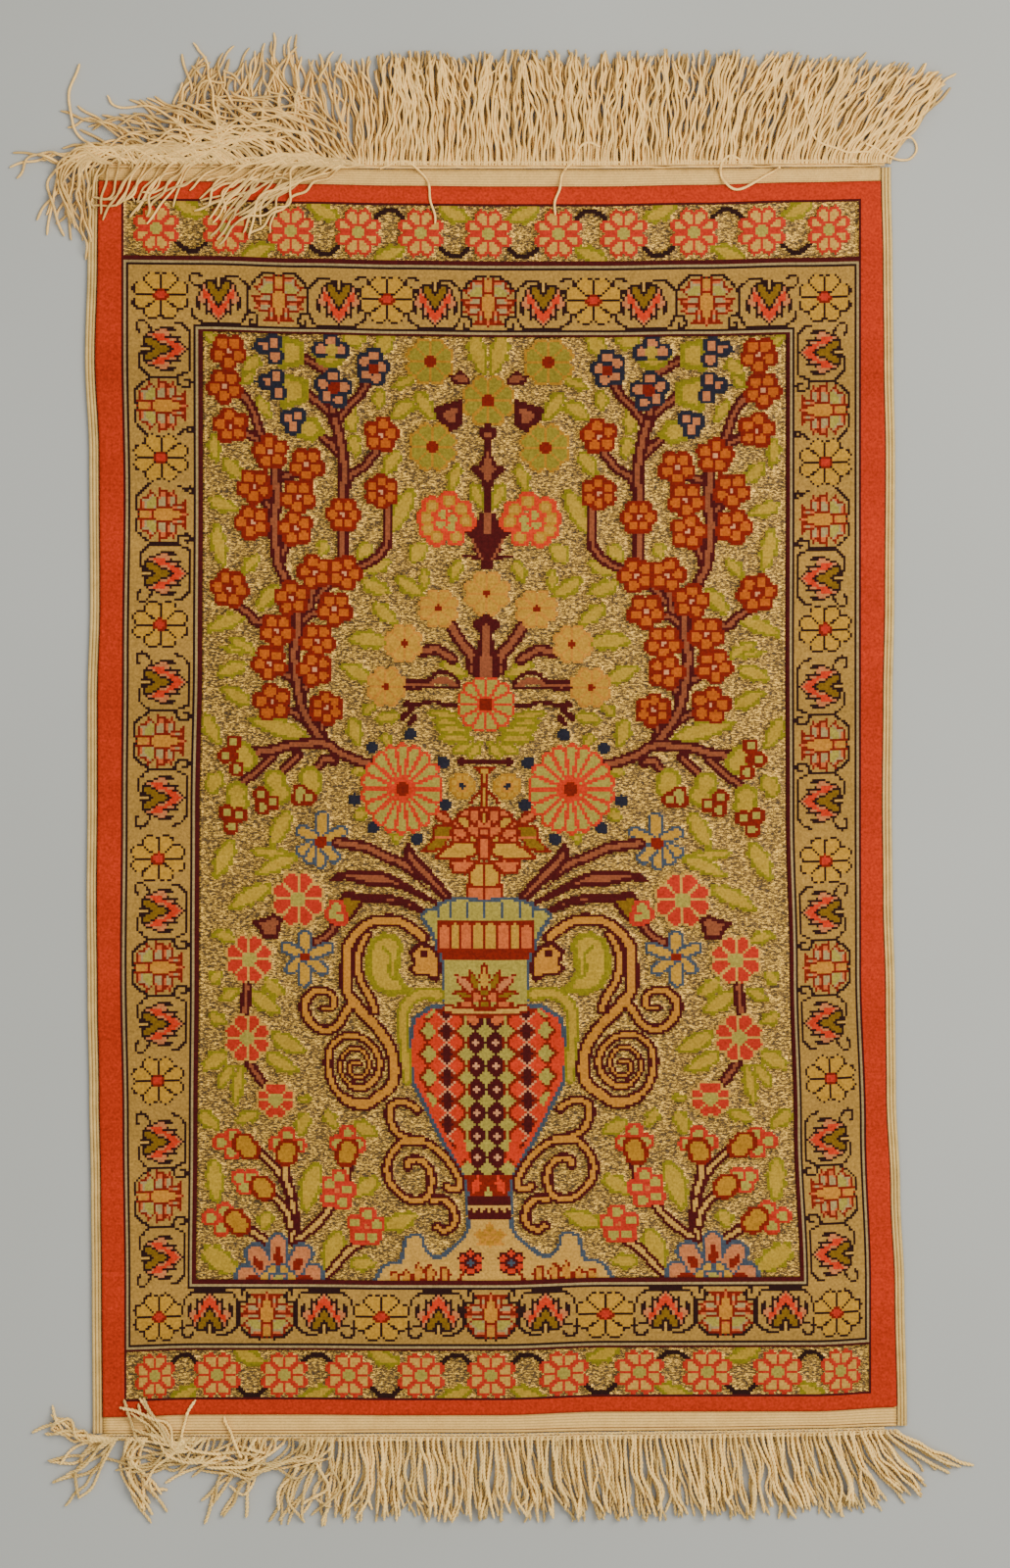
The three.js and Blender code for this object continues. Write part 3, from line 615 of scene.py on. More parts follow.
@dataclass
class BorderSide:
    """One side of the main border. Depth runs from its outer edge to the field, 25 at full depth."""

    outer: float
    inner: float
    runs_across: bool
    stations: list[Station]
    full_depth: float = 25.0
    motif_depth: float = 12.2
    tulip_depth: float = 5.0
    palmette_depth: float = 3.0
    flower_radius: float = 12.5
    flower_tall: float = 0.85
    reach: float = 17.0
    vine_width: float = 1.15
    stem_width: float = 1.3

    def place(self, along: float, depth: float) -> Place:
        """The out and row of a place along the side at a depth."""
        level = self.outer + (self.inner - self.outer) * depth / self.full_depth
        return (along, level) if self.runs_across else (level, along)

    def draw(self, chart: Chart) -> None:
        """Works the vines first, then the motifs.

        Args:
            chart: The chart that is drawn on.
        """
        for here, beyond in zip(self.stations, self.stations[1:]):
            self.vine(chart, here, beyond)
        for station in self.stations:
            self.motif(chart, station)

    def vine(self, chart: Chart, here: Station, beyond: Station) -> None:
        """Draws the thin vine between two neighbouring motifs.

        Args:
            chart: The chart that is drawn on.
            here: The first motif's station.
            beyond: The next one's.
        """
        kinds = {here.motif, beyond.motif}
        one = here if here.motif is min(kinds, key=VINE_ORDER.index) else beyond
        other = beyond if one is here else here
        sign = math.copysign(1, other.along - one.along)
        start = (one.along + other.along) / 2 if Motif.FLOWER not in kinds else one.along
        for way, points in VINES[frozenset(kinds)]:
            chart.stroke([self.place(start + way * sign * x, depth) for x, depth in points], Yarn.BLACK,
                         self.vine_width if len(points) > 2 else self.stem_width)

    def motif(self, chart: Chart, station: Station) -> None:
        """Draws one motif.

        Args:
            chart: The chart that is drawn on.
            station: The motif's station.
        """
        at = self.place(station.along, self.motif_depth)
        if station.motif is Motif.FLOWER:
            chart.flower(at, self.flower_radius, 8, BORDER_FLOWER, tall=self.flower_tall)
            return
        tulip = station.motif is Motif.TULIP
        rows_of_chart, key = (TULIP, BORDER_KEY) if tulip else (PALMETTE, PALMETTE_KEY)
        top = self.tulip_depth if tulip else self.palmette_depth
        scale = (self.inner - self.outer) / self.full_depth

        def locate(outs: np.ndarray, rows: np.ndarray) -> tuple[np.ndarray, np.ndarray]:
            """The places in the half chart of these places on the rug's chart."""
            along, level = (outs, rows) if self.runs_across else (rows, outs)
            return along - station.along, (level - self.outer) / scale - top + 0.5

        low, high = ((at[0] + side * self.reach, at[1] + side * self.reach) for side in (-1, 1))
        chart.stamp(rows_of_chart, key, locate, low, high)


class RugDesign:
    """Draws the whole design into a chart, from the guards inwards."""

    def __init__(self) -> None:
        """Starts with an empty chart."""
        self.chart = Chart()

    def draw(self) -> np.ndarray:
        """Draws everything and returns the full chart of yarns.

        Returns:
            The yarn of each knot, by row and column.
        """
        self.guards()
        self.main_border()
        self.inlay(self.minor_bands, (0, 151), [(8, 30), (495, 514)])
        self.inlay(self.field_design, (0, FIELD_OUT), [(FIELD_FIRST_ROW, FIELD_LAST_ROW)])
        return self.chart.whole()

    def inlay(self, work: Callable[[], None], outs: tuple[int, int],
              spans: Sequence[tuple[int, int]]) -> None:
        """Works a part of the design, and keeps only what lies inside its own panels.

        Args:
            work: Draws the part.
            outs: The panels' first and last out.
            spans: The first and last row of each panel.
        """
        kept = self.chart
        self.chart = Chart(kept.cells.copy())
        work()
        for first, last in spans:
            panel = (slice(first, last + 1), slice(outs[0], outs[1] + 1))
            kept.cells[panel] = self.chart.cells[panel]
        self.chart = kept

    def field_design(self) -> None:
        """Draws everything inside the field."""
        self.field_plants()
        self.crown()
        self.gold_branches()
        self.lotus()
        self.stars_and_daisies()
        self.vase_branches()
        self.vase_body()
        self.vase_neck()
        self.vase_foot()
        self.handles()
        self.lower_plants()
        self.half_lotus()

    def guards(self) -> None:
        """The red guard, the fine lines and the grounds of the borders and the field."""
        for out, first, last, yarn in (
            (HALF - 1, 0, ROWS - 1, Yarn.GUARD_RED), (152, 7, 515, Yarn.MAROON), (151, 8, 514, Yarn.METAL),
            (152, 31, 494, Yarn.MAROON), (151, 33, 493, Yarn.CREAM), (150, 34, 492, Yarn.BLACK),
            (149, 35, 491, Yarn.OCHRE), (122, 60, 468, Yarn.BLACK), (121, 61, 467, Yarn.CREAM),
            (120, 62, 466, Yarn.MAROON), (FIELD_OUT, FIELD_FIRST_ROW, FIELD_LAST_ROW, Yarn.METAL),
        ):
            self.chart.band((0, out), (first, last), yarn)

    def main_border(self) -> None:
        """The ochre border: flowers, tulips and palmettes, joined by thin black vines."""
        top = BorderSide(35.0, 60.0, True, stations("FTPTFTP", (136, 112, 87.3, 62, 42, 22, 0)))
        bottom = BorderSide(491.5, 468.5, True, stations("FTPTFTP", (136, 113, 90, 67, 44, 21, 0)))
        rows = (47.5, 70, 93.6, 116, 140, 165, 186.6, 210.6, 235.6, 260.4, 285.7, 308, 332, 356, 380, 405.6,
                429, 455, 480)
        side = BorderSide(149.5, 122.5, False, stations("FTPFPTFTPTFTPTFTPTF", rows))
        for run in (side, top, bottom):
            run.draw(self.chart)

    def minor_bands(self) -> None:
        """The two narrow bands across the ends: flowers, half leaves and black strokes on metal ground."""
        c = self.chart
        bands = ((19, 1, 1.07, (138, 109, 82, 54, 28, 0)), (505, -1, 0.98, (138, 110, 83, 57, 28, 0)))
        for middle, down, tall, outs in bands:
            for i, (near, far) in enumerate(zip(outs, outs[1:])):
                gap = (near + far) / 2
                flip = down if i % 2 == 0 else -down
                leaf_row, stroke_row = middle - 8.3 * flip * tall, middle + 8.1 * flip * tall
                c.leaf((gap + 7, leaf_row - 2.8 * flip), (gap - 7, leaf_row + 3.4 * flip), 7.5, rim=1.7)
                c.stroke([(gap + 5.6, stroke_row - 2.6 * flip), (gap + 2.6, stroke_row),
                          (gap - 2, stroke_row + 0.7 * flip), (gap - 5.6, stroke_row - 2.2 * flip)],
                         Yarn.BLACK, 2.1)
            for out in outs:
                c.flower((out, middle), 10.0, 8, MINOR_FLOWER, tall=tall)

    def field_plants(self) -> None:
        """The flowering trees with their leaves, blossoms and pods."""
        c = self.chart
        for leaf in LEAVES:
            c.leaf((leaf.base_out, leaf.base_row), (leaf.tip_out, leaf.tip_row), leaf.width)
        for points in TWIGS:
            c.branch(points, 4.4)
        for points in TRUNKS:
            c.branch(points, 5.0)
        for spot in BLOSSOMS:
            angles = [math.radians(spot.turn) + math.tau * i / spot.petals for i in range(spot.petals)]
            reach = 4.3 * spot.size
            places = [(spot.out + reach * math.cos(a), spot.row + reach * math.sin(a)) for a in angles]
            c.cluster(places, (2.0 if spot.petals == 5 else 1.7) * spot.size, Yarn.DARK_RED, Yarn.ORANGE)
            c.blob((spot.out, spot.row), 1.0, Yarn.PEACH)
        for corners in CALYXES:
            c.shape(corners, Yarn.LEAF, Yarn.LEAF_EDGE, 2.4)
        for places in NAVY_BLOSSOMS:
            c.cluster(places, 1.9, Yarn.NAVY, Yarn.SALMON, rim=1.7)
        for tip, foot in (((97.4, 68.8), (94, 68.4)), ((97.1, 82.9), (93, 83.2))):
            c.stroke([tip, foot], Yarn.NAVY, 1.6)
        for heart, radius in (((47.5, 76.6), 2.2), ((63.8, 84.8), 2.7)):
            c.blob(heart, radius, Yarn.DARK_RED)
        c.blob((64.9, 69.2), 2.5, Yarn.LEAF)
        for bud in PODS:
            for place in bud.calyx:
                c.blob(place, 4.9, Yarn.LEAF_EDGE)
            for place in bud.calyx:
                c.blob(place, 3.2, Yarn.LEAF)
            c.cluster(bud.petals, 1.7, Yarn.DARK_RED, Yarn.SAGE, rim=1.6)

    def crown(self) -> None:
        """The green flowers at the top, the dark stem that hangs below them and the peonies beside it."""
        c = self.chart
        c.leaf((7.1, 80.9), (16.6, 79.6), 5.4, Yarn.MAROON, Yarn.STEM)
        c.shape([(11.6, 90.2), (20.7, 93.4), (19.6, 97.4), (15.4, 100.8), (12.5, 99.5), (11.2, 93.1)],
                Yarn.STEM, Yarn.MAROON, 3.0)
        for spot in GREEN_FLOWERS:
            c.flower((spot.out, spot.row), spot.radius, 8, GREEN_FLOWER)
        c.stroke([(0, 100), (0, 140)], Yarn.MAROON, 3.0, smooth=False)
        c.shape([(-1, 101.5), (2.4, 101.5), (2, 105), (-1, 105)], Yarn.STEM, Yarn.MAROON, 1.8)
        for corners, yarn in (
            ([(-1, 109), (1.6, 112), (3.6, 116), (7.6, 117.6), (7.6, 118.6), (4.4, 120.6), (2.6, 123),
              (1.6, 128), (-1, 128)], Yarn.MAROON),
            ([(-1, 111), (0.7, 111), (1.4, 116), (3.9, 117.8), (1.6, 120.4), (0.7, 124), (-1, 124)],
             Yarn.STEM),
            ([(-1, 136), (3, 136.5), (4.4, 141), (6, 143.8), (10, 145), (7, 148), (4.4, 149.5),
              (6.5, 152.6), (3.4, 155), (2, 160.4), (-1, 160.4)], Yarn.MAROON),
            ([(-1, 137), (1.6, 137), (1.8, 145), (-1, 146.5)], Yarn.STEM),
        ):
            c.polygon(corners, yarn)
        c.stroke([(6.4, 147.6), (2.2, 156)], Yarn.STEM, 1.1, smooth=False)
        c.stroke([(4, 155.4), (9.6, 155)], Yarn.MAROON, 1.5)
        lobes = [(23.2, 134.1), (16.1, 131.6), (10.7, 135.2), (8.9, 140.2), (25.4, 139.1), (24.6, 143.8),
                 (21.1, 147), (13.2, 146.6)]
        c.cluster(lobes, 2.5, Yarn.CORAL, Yarn.GOLD, rim=1.7)
        c.cluster(lobes, 1.5, Yarn.YELLOW, Yarn.YELLOW, rim=0.3)
        c.cluster([(18.8, 137.6), (14.6, 139.4), (19.6, 141.8), (15.4, 143)], 1.7, Yarn.CORAL, Yarn.SAGE,
                  rim=0.9)

    def gold_branches(self) -> None:
        """The gold flowers on their fan of branches, and the coral flower at its foot."""
        c = self.chart
        c.branch([(14.3, 185.2), (11.8, 189.5), (9.3, 193.1), (6.1, 197), (5.4, 203)], 5.4)
        c.branch([(26.5, 196), (21, 194.8), (17, 197), (14, 198.8)], 5.0)
        c.stroke([(32.4, 210), (24.6, 209.8), (18, 207.8), (12, 210)], Yarn.STEM, 2.6)
        for points, width in (
            ([(33.2, 208.3), (24.6, 208.3), (20.4, 205), (16.1, 204.9), (12.9, 206.4), (11.1, 209.5)], 1.9),
            ([(33.2, 211.3), (30, 212), (26, 211), (16.8, 211), (11.4, 211)], 1.8),
            ([(33.9, 218.8), (28.2, 218.4), (21.8, 217), (16.8, 218.4), (12.1, 218.8)], 1.8),
            ([(32.5, 218.1), (31.1, 220.9), (34.6, 224.1)], 2.6), ([(29.6, 223.8), (31.4, 226.6)], 2.6),
        ):
            c.stroke(points, Yarn.MAROON, width)
        c.polygon([(-1, 180), (1.8, 180), (5.4, 183), (5.4, 185.2), (3, 187.4), (2.8, 190), (4.3, 195.2),
                   (6.1, 200.9), (5.4, 207), (-1, 207)], Yarn.MAROON)
        c.polygon([(-1, 183), (2, 185.6), (1.2, 189.5), (1.4, 195), (2.7, 201), (2.5, 207), (-1, 207)],
                  Yarn.STEM)
        for spot in GOLD_FLOWERS:
            c.flower((spot.out, spot.row), spot.radius, 8, GOLD_FLOWER, tall=1.05 if spot.out > 30 else 1.0)
        c.flower((0, 218), 12.1, 12, CORAL_FLOWER)
        for dot in NAVY_DOTS:
            c.blob(dot, 2.6, Yarn.NAVY)

    def lotus(self) -> None:
        """The funnel and the pink lotus that stand in the vase's mouth."""
        c = self.chart
        c.stroke([(-1, 242.7), (6, 242.7), (9.6, 242.7)], Yarn.MAROON, 2.0, smooth=False)
        c.blob((9.6, 242.7), 1.9, Yarn.MAROON)
        c.shape([(-1, 245), (3.6, 245), (1.4, 247.6), (0.6, 252), (0.8, 257), (1.4, 262), (-1, 262)],
                Yarn.YELLOW, Yarn.DARK_RED, 1.3)
        c.stroke([(1.4, 255.4), (3.9, 257.4), (5.4, 260.2)], Yarn.DARK_RED, 1.4)
        line, pink, yellow = Yarn.DARK_RED, Yarn.PINK, Yarn.YELLOW
        c.leaf((13.2, 269.2), (21.6, 264.2), 5.0, line, pink)
        for corners, fill in (
            ([(-1, 262.3), (6.1, 262.4), (10, 264.3), (13, 268.8), (12.4, 274), (13.8, 278), (-1, 278)],
             pink),
            ([(12.4, 269.6), (19.6, 269.9), (21.4, 272), (20.6, 274.9), (25.6, 281.3), (17, 280)],
             Yarn.OLIVE),
            ([(0, 263.2), (1.6, 266), (0, 269.4), (-1.6, 266)], yellow),
            ([(2.4, 262.6), (6.4, 263.4), (5.6, 267.4), (3.4, 270.4), (1.9, 266)], pink),
            ([(10.9, 265.4), (11.4, 268.6), (7.6, 271.4), (5.4, 269.4), (7.2, 266)], yellow),
            ([(13.2, 270.2), (12.6, 273.8), (8.6, 276.2), (6, 273.4), (8.6, 271.4)], pink),
            ([(7, 273.4), (5.6, 277.2), (2.4, 277.6), (3.2, 274.8)], yellow),
            ([(-1, 270.6), (2.4, 270.8), (2.2, 274.4), (-1, 274.4)], pink),
            ([(20.4, 284.1), (16.4, 280), (11.1, 276.8), (4.6, 277.4), (2.6, 280.4), (4.2, 283),
              (9.6, 284)], yellow),
            ([(13.6, 285), (13.4, 289.6), (8, 290.6), (4.4, 286.6), (2.2, 284.8), (8, 284.4)], pink),
            ([(-1, 274.5), (1.9, 274.8), (2, 279), (1.6, 284), (-1, 284)], pink),
            ([(0.3, 285.6), (3.6, 286.6), (6.2, 290), (5.6, 294.6), (3, 296.4), (0.3, 296.2)], yellow),
            ([(0.3, 296.4), (6.9, 295.4), (6.9, 302), (0.3, 302)], pink),
        ):
            c.shape(corners, fill, line, 1.1)
        c.stroke([(14, 274.8), (19.6, 275.2)], pink, 1.2)
        c.stroke([(0, 285), (0, 302)], Yarn.DARK_RED, 1.2, smooth=False)

    def stars_and_daisies(self) -> None:
        """The great daisy by the lotus, the slate-edged stars and the red daisies."""
        c = self.chart
        c.flower((34.2, 254.5), 17.4, 18, GREAT_DAISY, tall=1.13)
        c.flower((9.1, 252.9), 5.8, 8, YELLOW_FLOWER)
        c.blob((9.1, 252.9), 1.3, Yarn.NAVY)
        for middle, heart, tips in (
            ((67.9, 277.7), 2.6,
             [(67.2, 265), (77.2, 272.4), (77.2, 282.4), (73.3, 286), (68.2, 288.4), (61.6, 285.5),
              (57.9, 272.4)]),
            ((74.4, 327), 1.9,
             [(74.4, 316.4), (83.4, 322.3), (81.4, 333), (74.7, 339.4), (65.9, 333.2), (63.2, 322.3)]),
        ):
            for tip in tips:
                near, far = (tuple(m + share * (t - m) for m, t in zip(middle, tip))
                             for share in (0.3, 0.84))
                c.stroke([near, far], Yarn.SLATE, 5.8, 0.3, smooth=False)
                c.stroke([near, far], Yarn.YELLOW, 3.4, 0.3, smooth=False)
            c.blob(middle, heart, Yarn.DARK_RED)
        c.shape([(86.9, 309.5), (84.4, 310.9), (86.5, 318.8), (91.5, 318.4), (93.6, 314.5), (96.1, 312.7),
                 (92.2, 311.6)], Yarn.STEM, Yarn.MAROON, 1.8)
        for spot in RED_DAISIES:
            c.flower((spot.out, spot.row), spot.radius, 8, RED_DAISY, tall=1.08 if spot.radius > 9 else 1.0)
        c.shape([(58.9, 300.2), (50.4, 302.4), (53, 307), (56.4, 310.9), (60, 306)], Yarn.OLIVE,
                Yarn.MAROON, 1.6)
        c.cluster([(61.4, 305.6), (60.1, 309.9), (63, 308.6)], 1.9, Yarn.BRIGHT_RED, Yarn.SAGE)

    def vase_branches(self) -> None:
        """The branches that lean out of the vase, dark-edged with pink between."""
        c = self.chart
        c.branch([(61.1, 277.8), (53.2, 279), (48.2, 280), (43.2, 282.3), (38.2, 284.8), (33.9, 286.5),
                  (27, 291.4)], 5.0)
        c.shape([(31.8, 278.4), (32.8, 283), (28.9, 289.5), (22.5, 295), (16.8, 301.4), (13.6, 301),
                 (18.2, 294.8), (22.5, 289.8), (27.9, 284.1)], Yarn.STEM, Yarn.MAROON, 2.0)
        c.stroke([(38.2, 285.9), (30.4, 290.6), (24, 297)], Yarn.MAROON, 1.2)
        for corners, width in (
            ([(63.5, 294), (61.1, 291.8), (56.8, 290.9), (48.2, 290.1), (41.8, 290.9), (37.5, 292.6),
              (31.8, 296), (26.8, 299), (20, 303), (28.2, 299.6), (33.9, 296.8), (38.9, 295.6),
              (48.9, 295.2), (58.2, 292.9)], 2.0),
            ([(58, 299.4), (52.5, 300), (44.6, 300.8), (38.9, 300.6), (31.8, 302.4), (25.4, 306),
              (26.6, 307), (33.9, 303.8), (41.1, 302.8), (50.4, 302.4)], 1.8),
        ):
            c.shape(corners, Yarn.STEM, Yarn.MAROON, width)

    def vase_neck(self) -> None:
        """The rim, the gadroons and the neck with its small lotus."""
        c = self.chart
        rim = [(-1, 302), (9.6, 301), (13.2, 301.5), (16.8, 302.7), (19.6, 305.2), (23.6, 306.3),
               (26.1, 309.1), (22.5, 314.5), (20.4, 318.8), (18.9, 324.5), (17.4, 328.6), (17, 345),
               (-1, 345)]
        c.shape(rim, Yarn.SAGE, Yarn.SLATE, 1.4)
        for out in (0.0, 7.1, 14.3, 19.3):
            c.stroke([(out, 303), (out, 309)], Yarn.SLATE, 0.9, smooth=False)
        c.band((0, 19), (311, 324), Yarn.DARK_RED)
        for low, high, top, yarn in ((1, 4, 312, Yarn.YELLOW), (6, 9, 312, Yarn.PINK),
                                     (11, 13, 312, Yarn.YELLOW), (15, 18, 313, Yarn.PINK)):
            c.band((low, high), (top + 1, 322), yarn)
            c.band((low + 1, high - 1), (top, top), yarn)
        c.band((0, 17), (323, 327), Yarn.DARK_RED)
        c.band((0, 16), (328, 348), Yarn.SAGE)
        for foot, tip, width, fill in (
            ((0, 341.6), (0, 328.8), 4.6, Yarn.YELLOW), ((2.9, 340.5), (6.4, 331.6), 3.8, Yarn.OLIVE),
            ((4.4, 342), (12.4, 333.4), 4.6, Yarn.SALMON), ((4.6, 344), (13.4, 341), 3.6, Yarn.OLIVE),
            ((3.6, 346.6), (12, 346.6), 3.4, Yarn.PINK),
        ):
            c.leaf(foot, tip, width, Yarn.DARK_RED, fill, rim=0.8)
        c.cluster([(3.2, 343.4)], 1.7, Yarn.DARK_RED, Yarn.PINK, rim=0.9)
        c.cluster([(0, 341.6), (0, 346.6)], 1.3, Yarn.DARK_RED, Yarn.OLIVE, rim=0.9)
        c.shape([(-1, 348.6), (10, 348.2), (15.6, 346.8), (18, 349), (12, 351), (-1, 351.6)], Yarn.TAN,
                Yarn.DARK_RED, 1.2)

    def vase_outline(self, row: float) -> float:
        """Half the body's width at a row.

        Args:
            row: The chart's row.

        Returns:
            Half the width, in knots.
        """
        shape = ((346.6, 16.1), (348.1, 22.5), (353.1, 28.9), (358.8, 30), (366.6, 31.1), (374.5, 30.4),
                 (380.9, 29.3), (387.4, 26.1), (393.8, 23.2), (400, 20.4), (406.8, 16.8), (413.2, 13.2),
                 (418.9, 10.4), (423.9, 8.9), (428.9, 8.2), (441.8, 8.4))
        return float(np.interp(row, [r for r, _ in shape], [o for _, o in shape]))

    def vase_body(self) -> None:
        """The body: a lattice of diamonds, coral at the sides, sage and crosses on maroon in the middle."""
        c = self.chart
        pitch = 9.8
        view, outs, rows = c.window((0, 347), (33, 430))
        width = np.vectorize(self.vase_outline)(rows)
        body = np.full(view.shape, Yarn.DARK_RED, np.int8)

        def diamonds(out: float, first_row: float, half_out: float, half_row: float, yarn: Yarn) -> None:
            """Sets a column of diamonds, one a pitch, in the body."""
            off = rows - np.round(first_row + np.round((rows - first_row) / pitch) * pitch)
            body[np.abs(outs - out) / half_out + np.abs(off) / half_row <= 1] = yarn

        body[(outs < 6.4) | ((outs > 14.4) & (outs < 17.8))] = Yarn.MAROON
        for out in (0.0, 7.9, 23.2):
            diamonds(out, 358.4, 3.1, 4.2, Yarn.SAGE)
        for out in (12.5, 20.0, 27.6):
            diamonds(out, 363.4, 3.3, 4.6, Yarn.CORAL)
        diamonds(4.0, 363.4, 1.5, 1.5, Yarn.PEACH)
        for reach in range(4):
            for side, up in ((-1, -1), (-1, 1), (1, -1), (1, 1)):
                diamonds(16.0 + side * reach, 363.4 + up * reach, 0.6, 0.6, Yarn.PEACH)
        diamonds(16.0, 358.4, 2.5, 2.5, Yarn.MAROON)
        body[(outs > width - 2.6) & (rows < 416)] = Yarn.CORAL
        inside = outs <= width
        view[inside] = body[inside]
        for corners, yarn in (
            ([(2, 352), (8, 352), (5.6, 355.4), (3.4, 355.4)], Yarn.PINK),
            ([(14, 399), (14, 405), (9.4, 412), (6, 416), (9, 406)], Yarn.CORAL),
            ([(-1, 420), (9, 420), (8, 429), (-1, 429)], Yarn.DARK_RED),
            ([(-1, 423.4), (2, 428), (-1, 428.6)], Yarn.SAGE),
            ([(4, 419.6), (6.4, 423), (6.6, 427.4), (3.6, 426.4), (2.8, 422.6)], Yarn.CORAL),
        ):
            c.polygon(corners, yarn)
        edge = [(self.vase_outline(r) + 0.4, r)
                for r in (348, 350, 353, 359, 366, 374, 381, 387, 394, 400, 407, 413, 419, 424, 429, 436)]
        c.stroke([(16.2, 346.8), (19.4, 347.4), *edge], Yarn.SLATE, 1.7)

    def vase_foot(self) -> None:
        """The maroon bands and the broad foot with its leaf and flowers."""
        c = self.chart
        foot = [(8.2, 436.1), (8.6, 441.8), (11.1, 446.8), (16.8, 451.8), (19.6, 454.2), (23.2, 454.2),
                (26.4, 450.4), (27.5, 446.1), (30.4, 444.9), (33.9, 446.8), (35, 451.8), (36.4, 456.5),
                (40.4, 457.3), (43.9, 459.6), (46.8, 465)]
        c.polygon([(-1, 429), (8.2, 429), *foot, (-1, 465)], Yarn.TAN)
        c.stroke(foot, Yarn.SLATE, 1.5)
        c.band((0, 8), (429, 432), Yarn.MAROON)
        c.band((0, 8), (436, 438), Yarn.MAROON)
        for out in (1.4, 4.4, 7.4):
            c.polygon([(out - 1.7, 437), (out, 433), (out + 1.7, 437)], Yarn.MAROON)
        for tip, wide in (((0, 439.8), 5.4), ((6.4, 444.6), 4.6), ((4.8, 449.4), 4.0), ((0, 450.4), 4.0)):
            c.leaf((0, 446.4), tip, wide, Yarn.AMBER, Yarn.GOLD, rim=0.9)
        c.flower((8, 456.9), 5.4, 6, FOOT_FLOWER, tall=1.12)
        for out, row in ((38.9, 461.6), (33.9, 461), (29.2, 457.8), (24.4, 458.2), (18.6, 459)):
            c.leaf((out + 0.4, 466.5), (out, row - 1.4), 4.6, Yarn.DARK_RED, Yarn.AMBER, rim=0.9)
        c.stroke([(11.1, 461.1), (12.4, 463.6), (14.6, 465.4)], Yarn.DARK_RED, 1.4)

    def handles(self) -> None:
        """The vase's orange scrolled handles, with the leaves that hang inside them."""
        c = self.chart
        c.shape([(48, 326), (46, 319.6), (41.6, 317), (36.4, 318.4), (34.6, 322), (36, 328), (36.4, 334),
                 (33, 339.4), (29, 341.4), (40, 342), (45, 339.6), (48, 333.6)], Yarn.LEAF, Yarn.LEAF_EDGE,
                2.4)
        c.stroke([(42, 322), (39, 326), (39.6, 332), (37.6, 336)], Yarn.LEAF_EDGE, 1.4)
        hanging = [(19, 342.6), (26, 342.2), (31.4, 345.4), (33.8, 351), (33.9, 358), (33.2, 368),
                   (32.6, 379)]
        c.stroke(hanging, Yarn.LEAF_EDGE, 6.0, 0.3)
        c.stroke(hanging, Yarn.LEAF, 3.2, 0.3)
        runs = (
            (5.6, 2.9,
             [(25.5, 318), (31, 313.5), (36.1, 311), (43.9, 311), (48.5, 312.5), (52.5, 316), (56.5, 322),
              (57.2, 330), (57.2, 340), (54.6, 346.6)]),
            (4.6, 2.0,
             [(48.9, 317), (51.8, 324), (52.5, 331), (50.7, 338.1), (47.5, 343.8), (45.4, 349.5)]),
            (5.8, 3.3,
             [(54.6, 344.6), (50.4, 350.9), (46.1, 355.2), (41.8, 360.9), (38.9, 366.6), (37.7, 373.1),
              (37.9, 378.1), (39.6, 382.4), (43.9, 385.9), (48.2, 389.1), (53.2, 389.5), (58.2, 387.4)]),
            (4.2, 1.7,
             [(58.2, 387.4), (61.8, 383.8), (64.4, 377), (64.9, 370.9), (63.6, 365.2), (60.1, 361.6),
              (56.8, 360.4), (51.8, 361), (46.8, 364.5), (43.9, 370.2), (44.3, 375.9), (46.8, 379.9),
              (51.1, 382.6), (55.4, 381.8)]),
            (2.9, 0.9,
             [(55.4, 381.8), (58.6, 378.5), (60, 373.8), (58.9, 369.6), (56.1, 366.4), (52.5, 365.9),
              (49.3, 368.4), (48.2, 372.4), (49.6, 377), (52.5, 378.4), (55.4, 377), (56.4, 374.1),
              (54.6, 371.4), (52.2, 372.4)]),
            (5.0, 2.4,
             [(53.6, 345.2), (57.5, 350.2), (60.8, 355.9), (65.1, 358.4), (69.4, 357.4), (72.9, 353.8),
              (74.7, 348.8), (73.6, 344.5), (70.8, 342)]),
            (3.8, 1.6,
             [(70.8, 342), (67.2, 341.3), (63.6, 342.7), (62.2, 345.9), (63.6, 348.8), (67.2, 349.1)]),
            (4.5, 1.9,
             [(28.2, 392), (31.1, 389.5), (36.1, 388.4), (39.6, 390.9), (39.6, 395.9), (38.2, 399.5),
              (36.8, 401.8), (32.5, 403.9), (26.8, 404.5)]),
            (4.5, 1.9,
             [(31, 405.5), (35, 405.7), (39.6, 411.8), (41.1, 417.5), (39.6, 423.2), (36.1, 427.5),
              (32.5, 430), (26.8, 430), (23.6, 426.8), (22.9, 421.1), (23.9, 416.8), (27.5, 413.2),
              (31.8, 413.6), (32.5, 416.1)]),
            (4.5, 1.9,
             [(31.1, 405.4), (24.6, 406.1), (20.4, 408.9), (16.8, 412.5), (13.9, 416.8), (11.8, 421.1),
              (11.8, 425), (15, 425.4), (16.8, 424.6)]),
            (4.5, 1.9,
             [(22.5, 430.7), (18.9, 430), (15.4, 432.5), (13.9, 436.8), (14.6, 441.1), (18.2, 443.2),
              (21.1, 441.8)]),
        )
        for width, _, points in runs:
            c.stroke(points, Yarn.MAROON, width)
        for _, core, points in runs:
            c.stroke(points, Yarn.AMBER, core)
        c.shape([(26.8, 320.9), (30.4, 324.5), (28.9, 328.8), (30.5, 331.5), (29, 334), (24, 334),
                 (20, 336.5), (18.5, 333), (19, 326), (22, 322)], Yarn.AMBER, Yarn.MAROON, 1.6)
        c.blob((25, 325.2), 1.8, Yarn.MAROON)

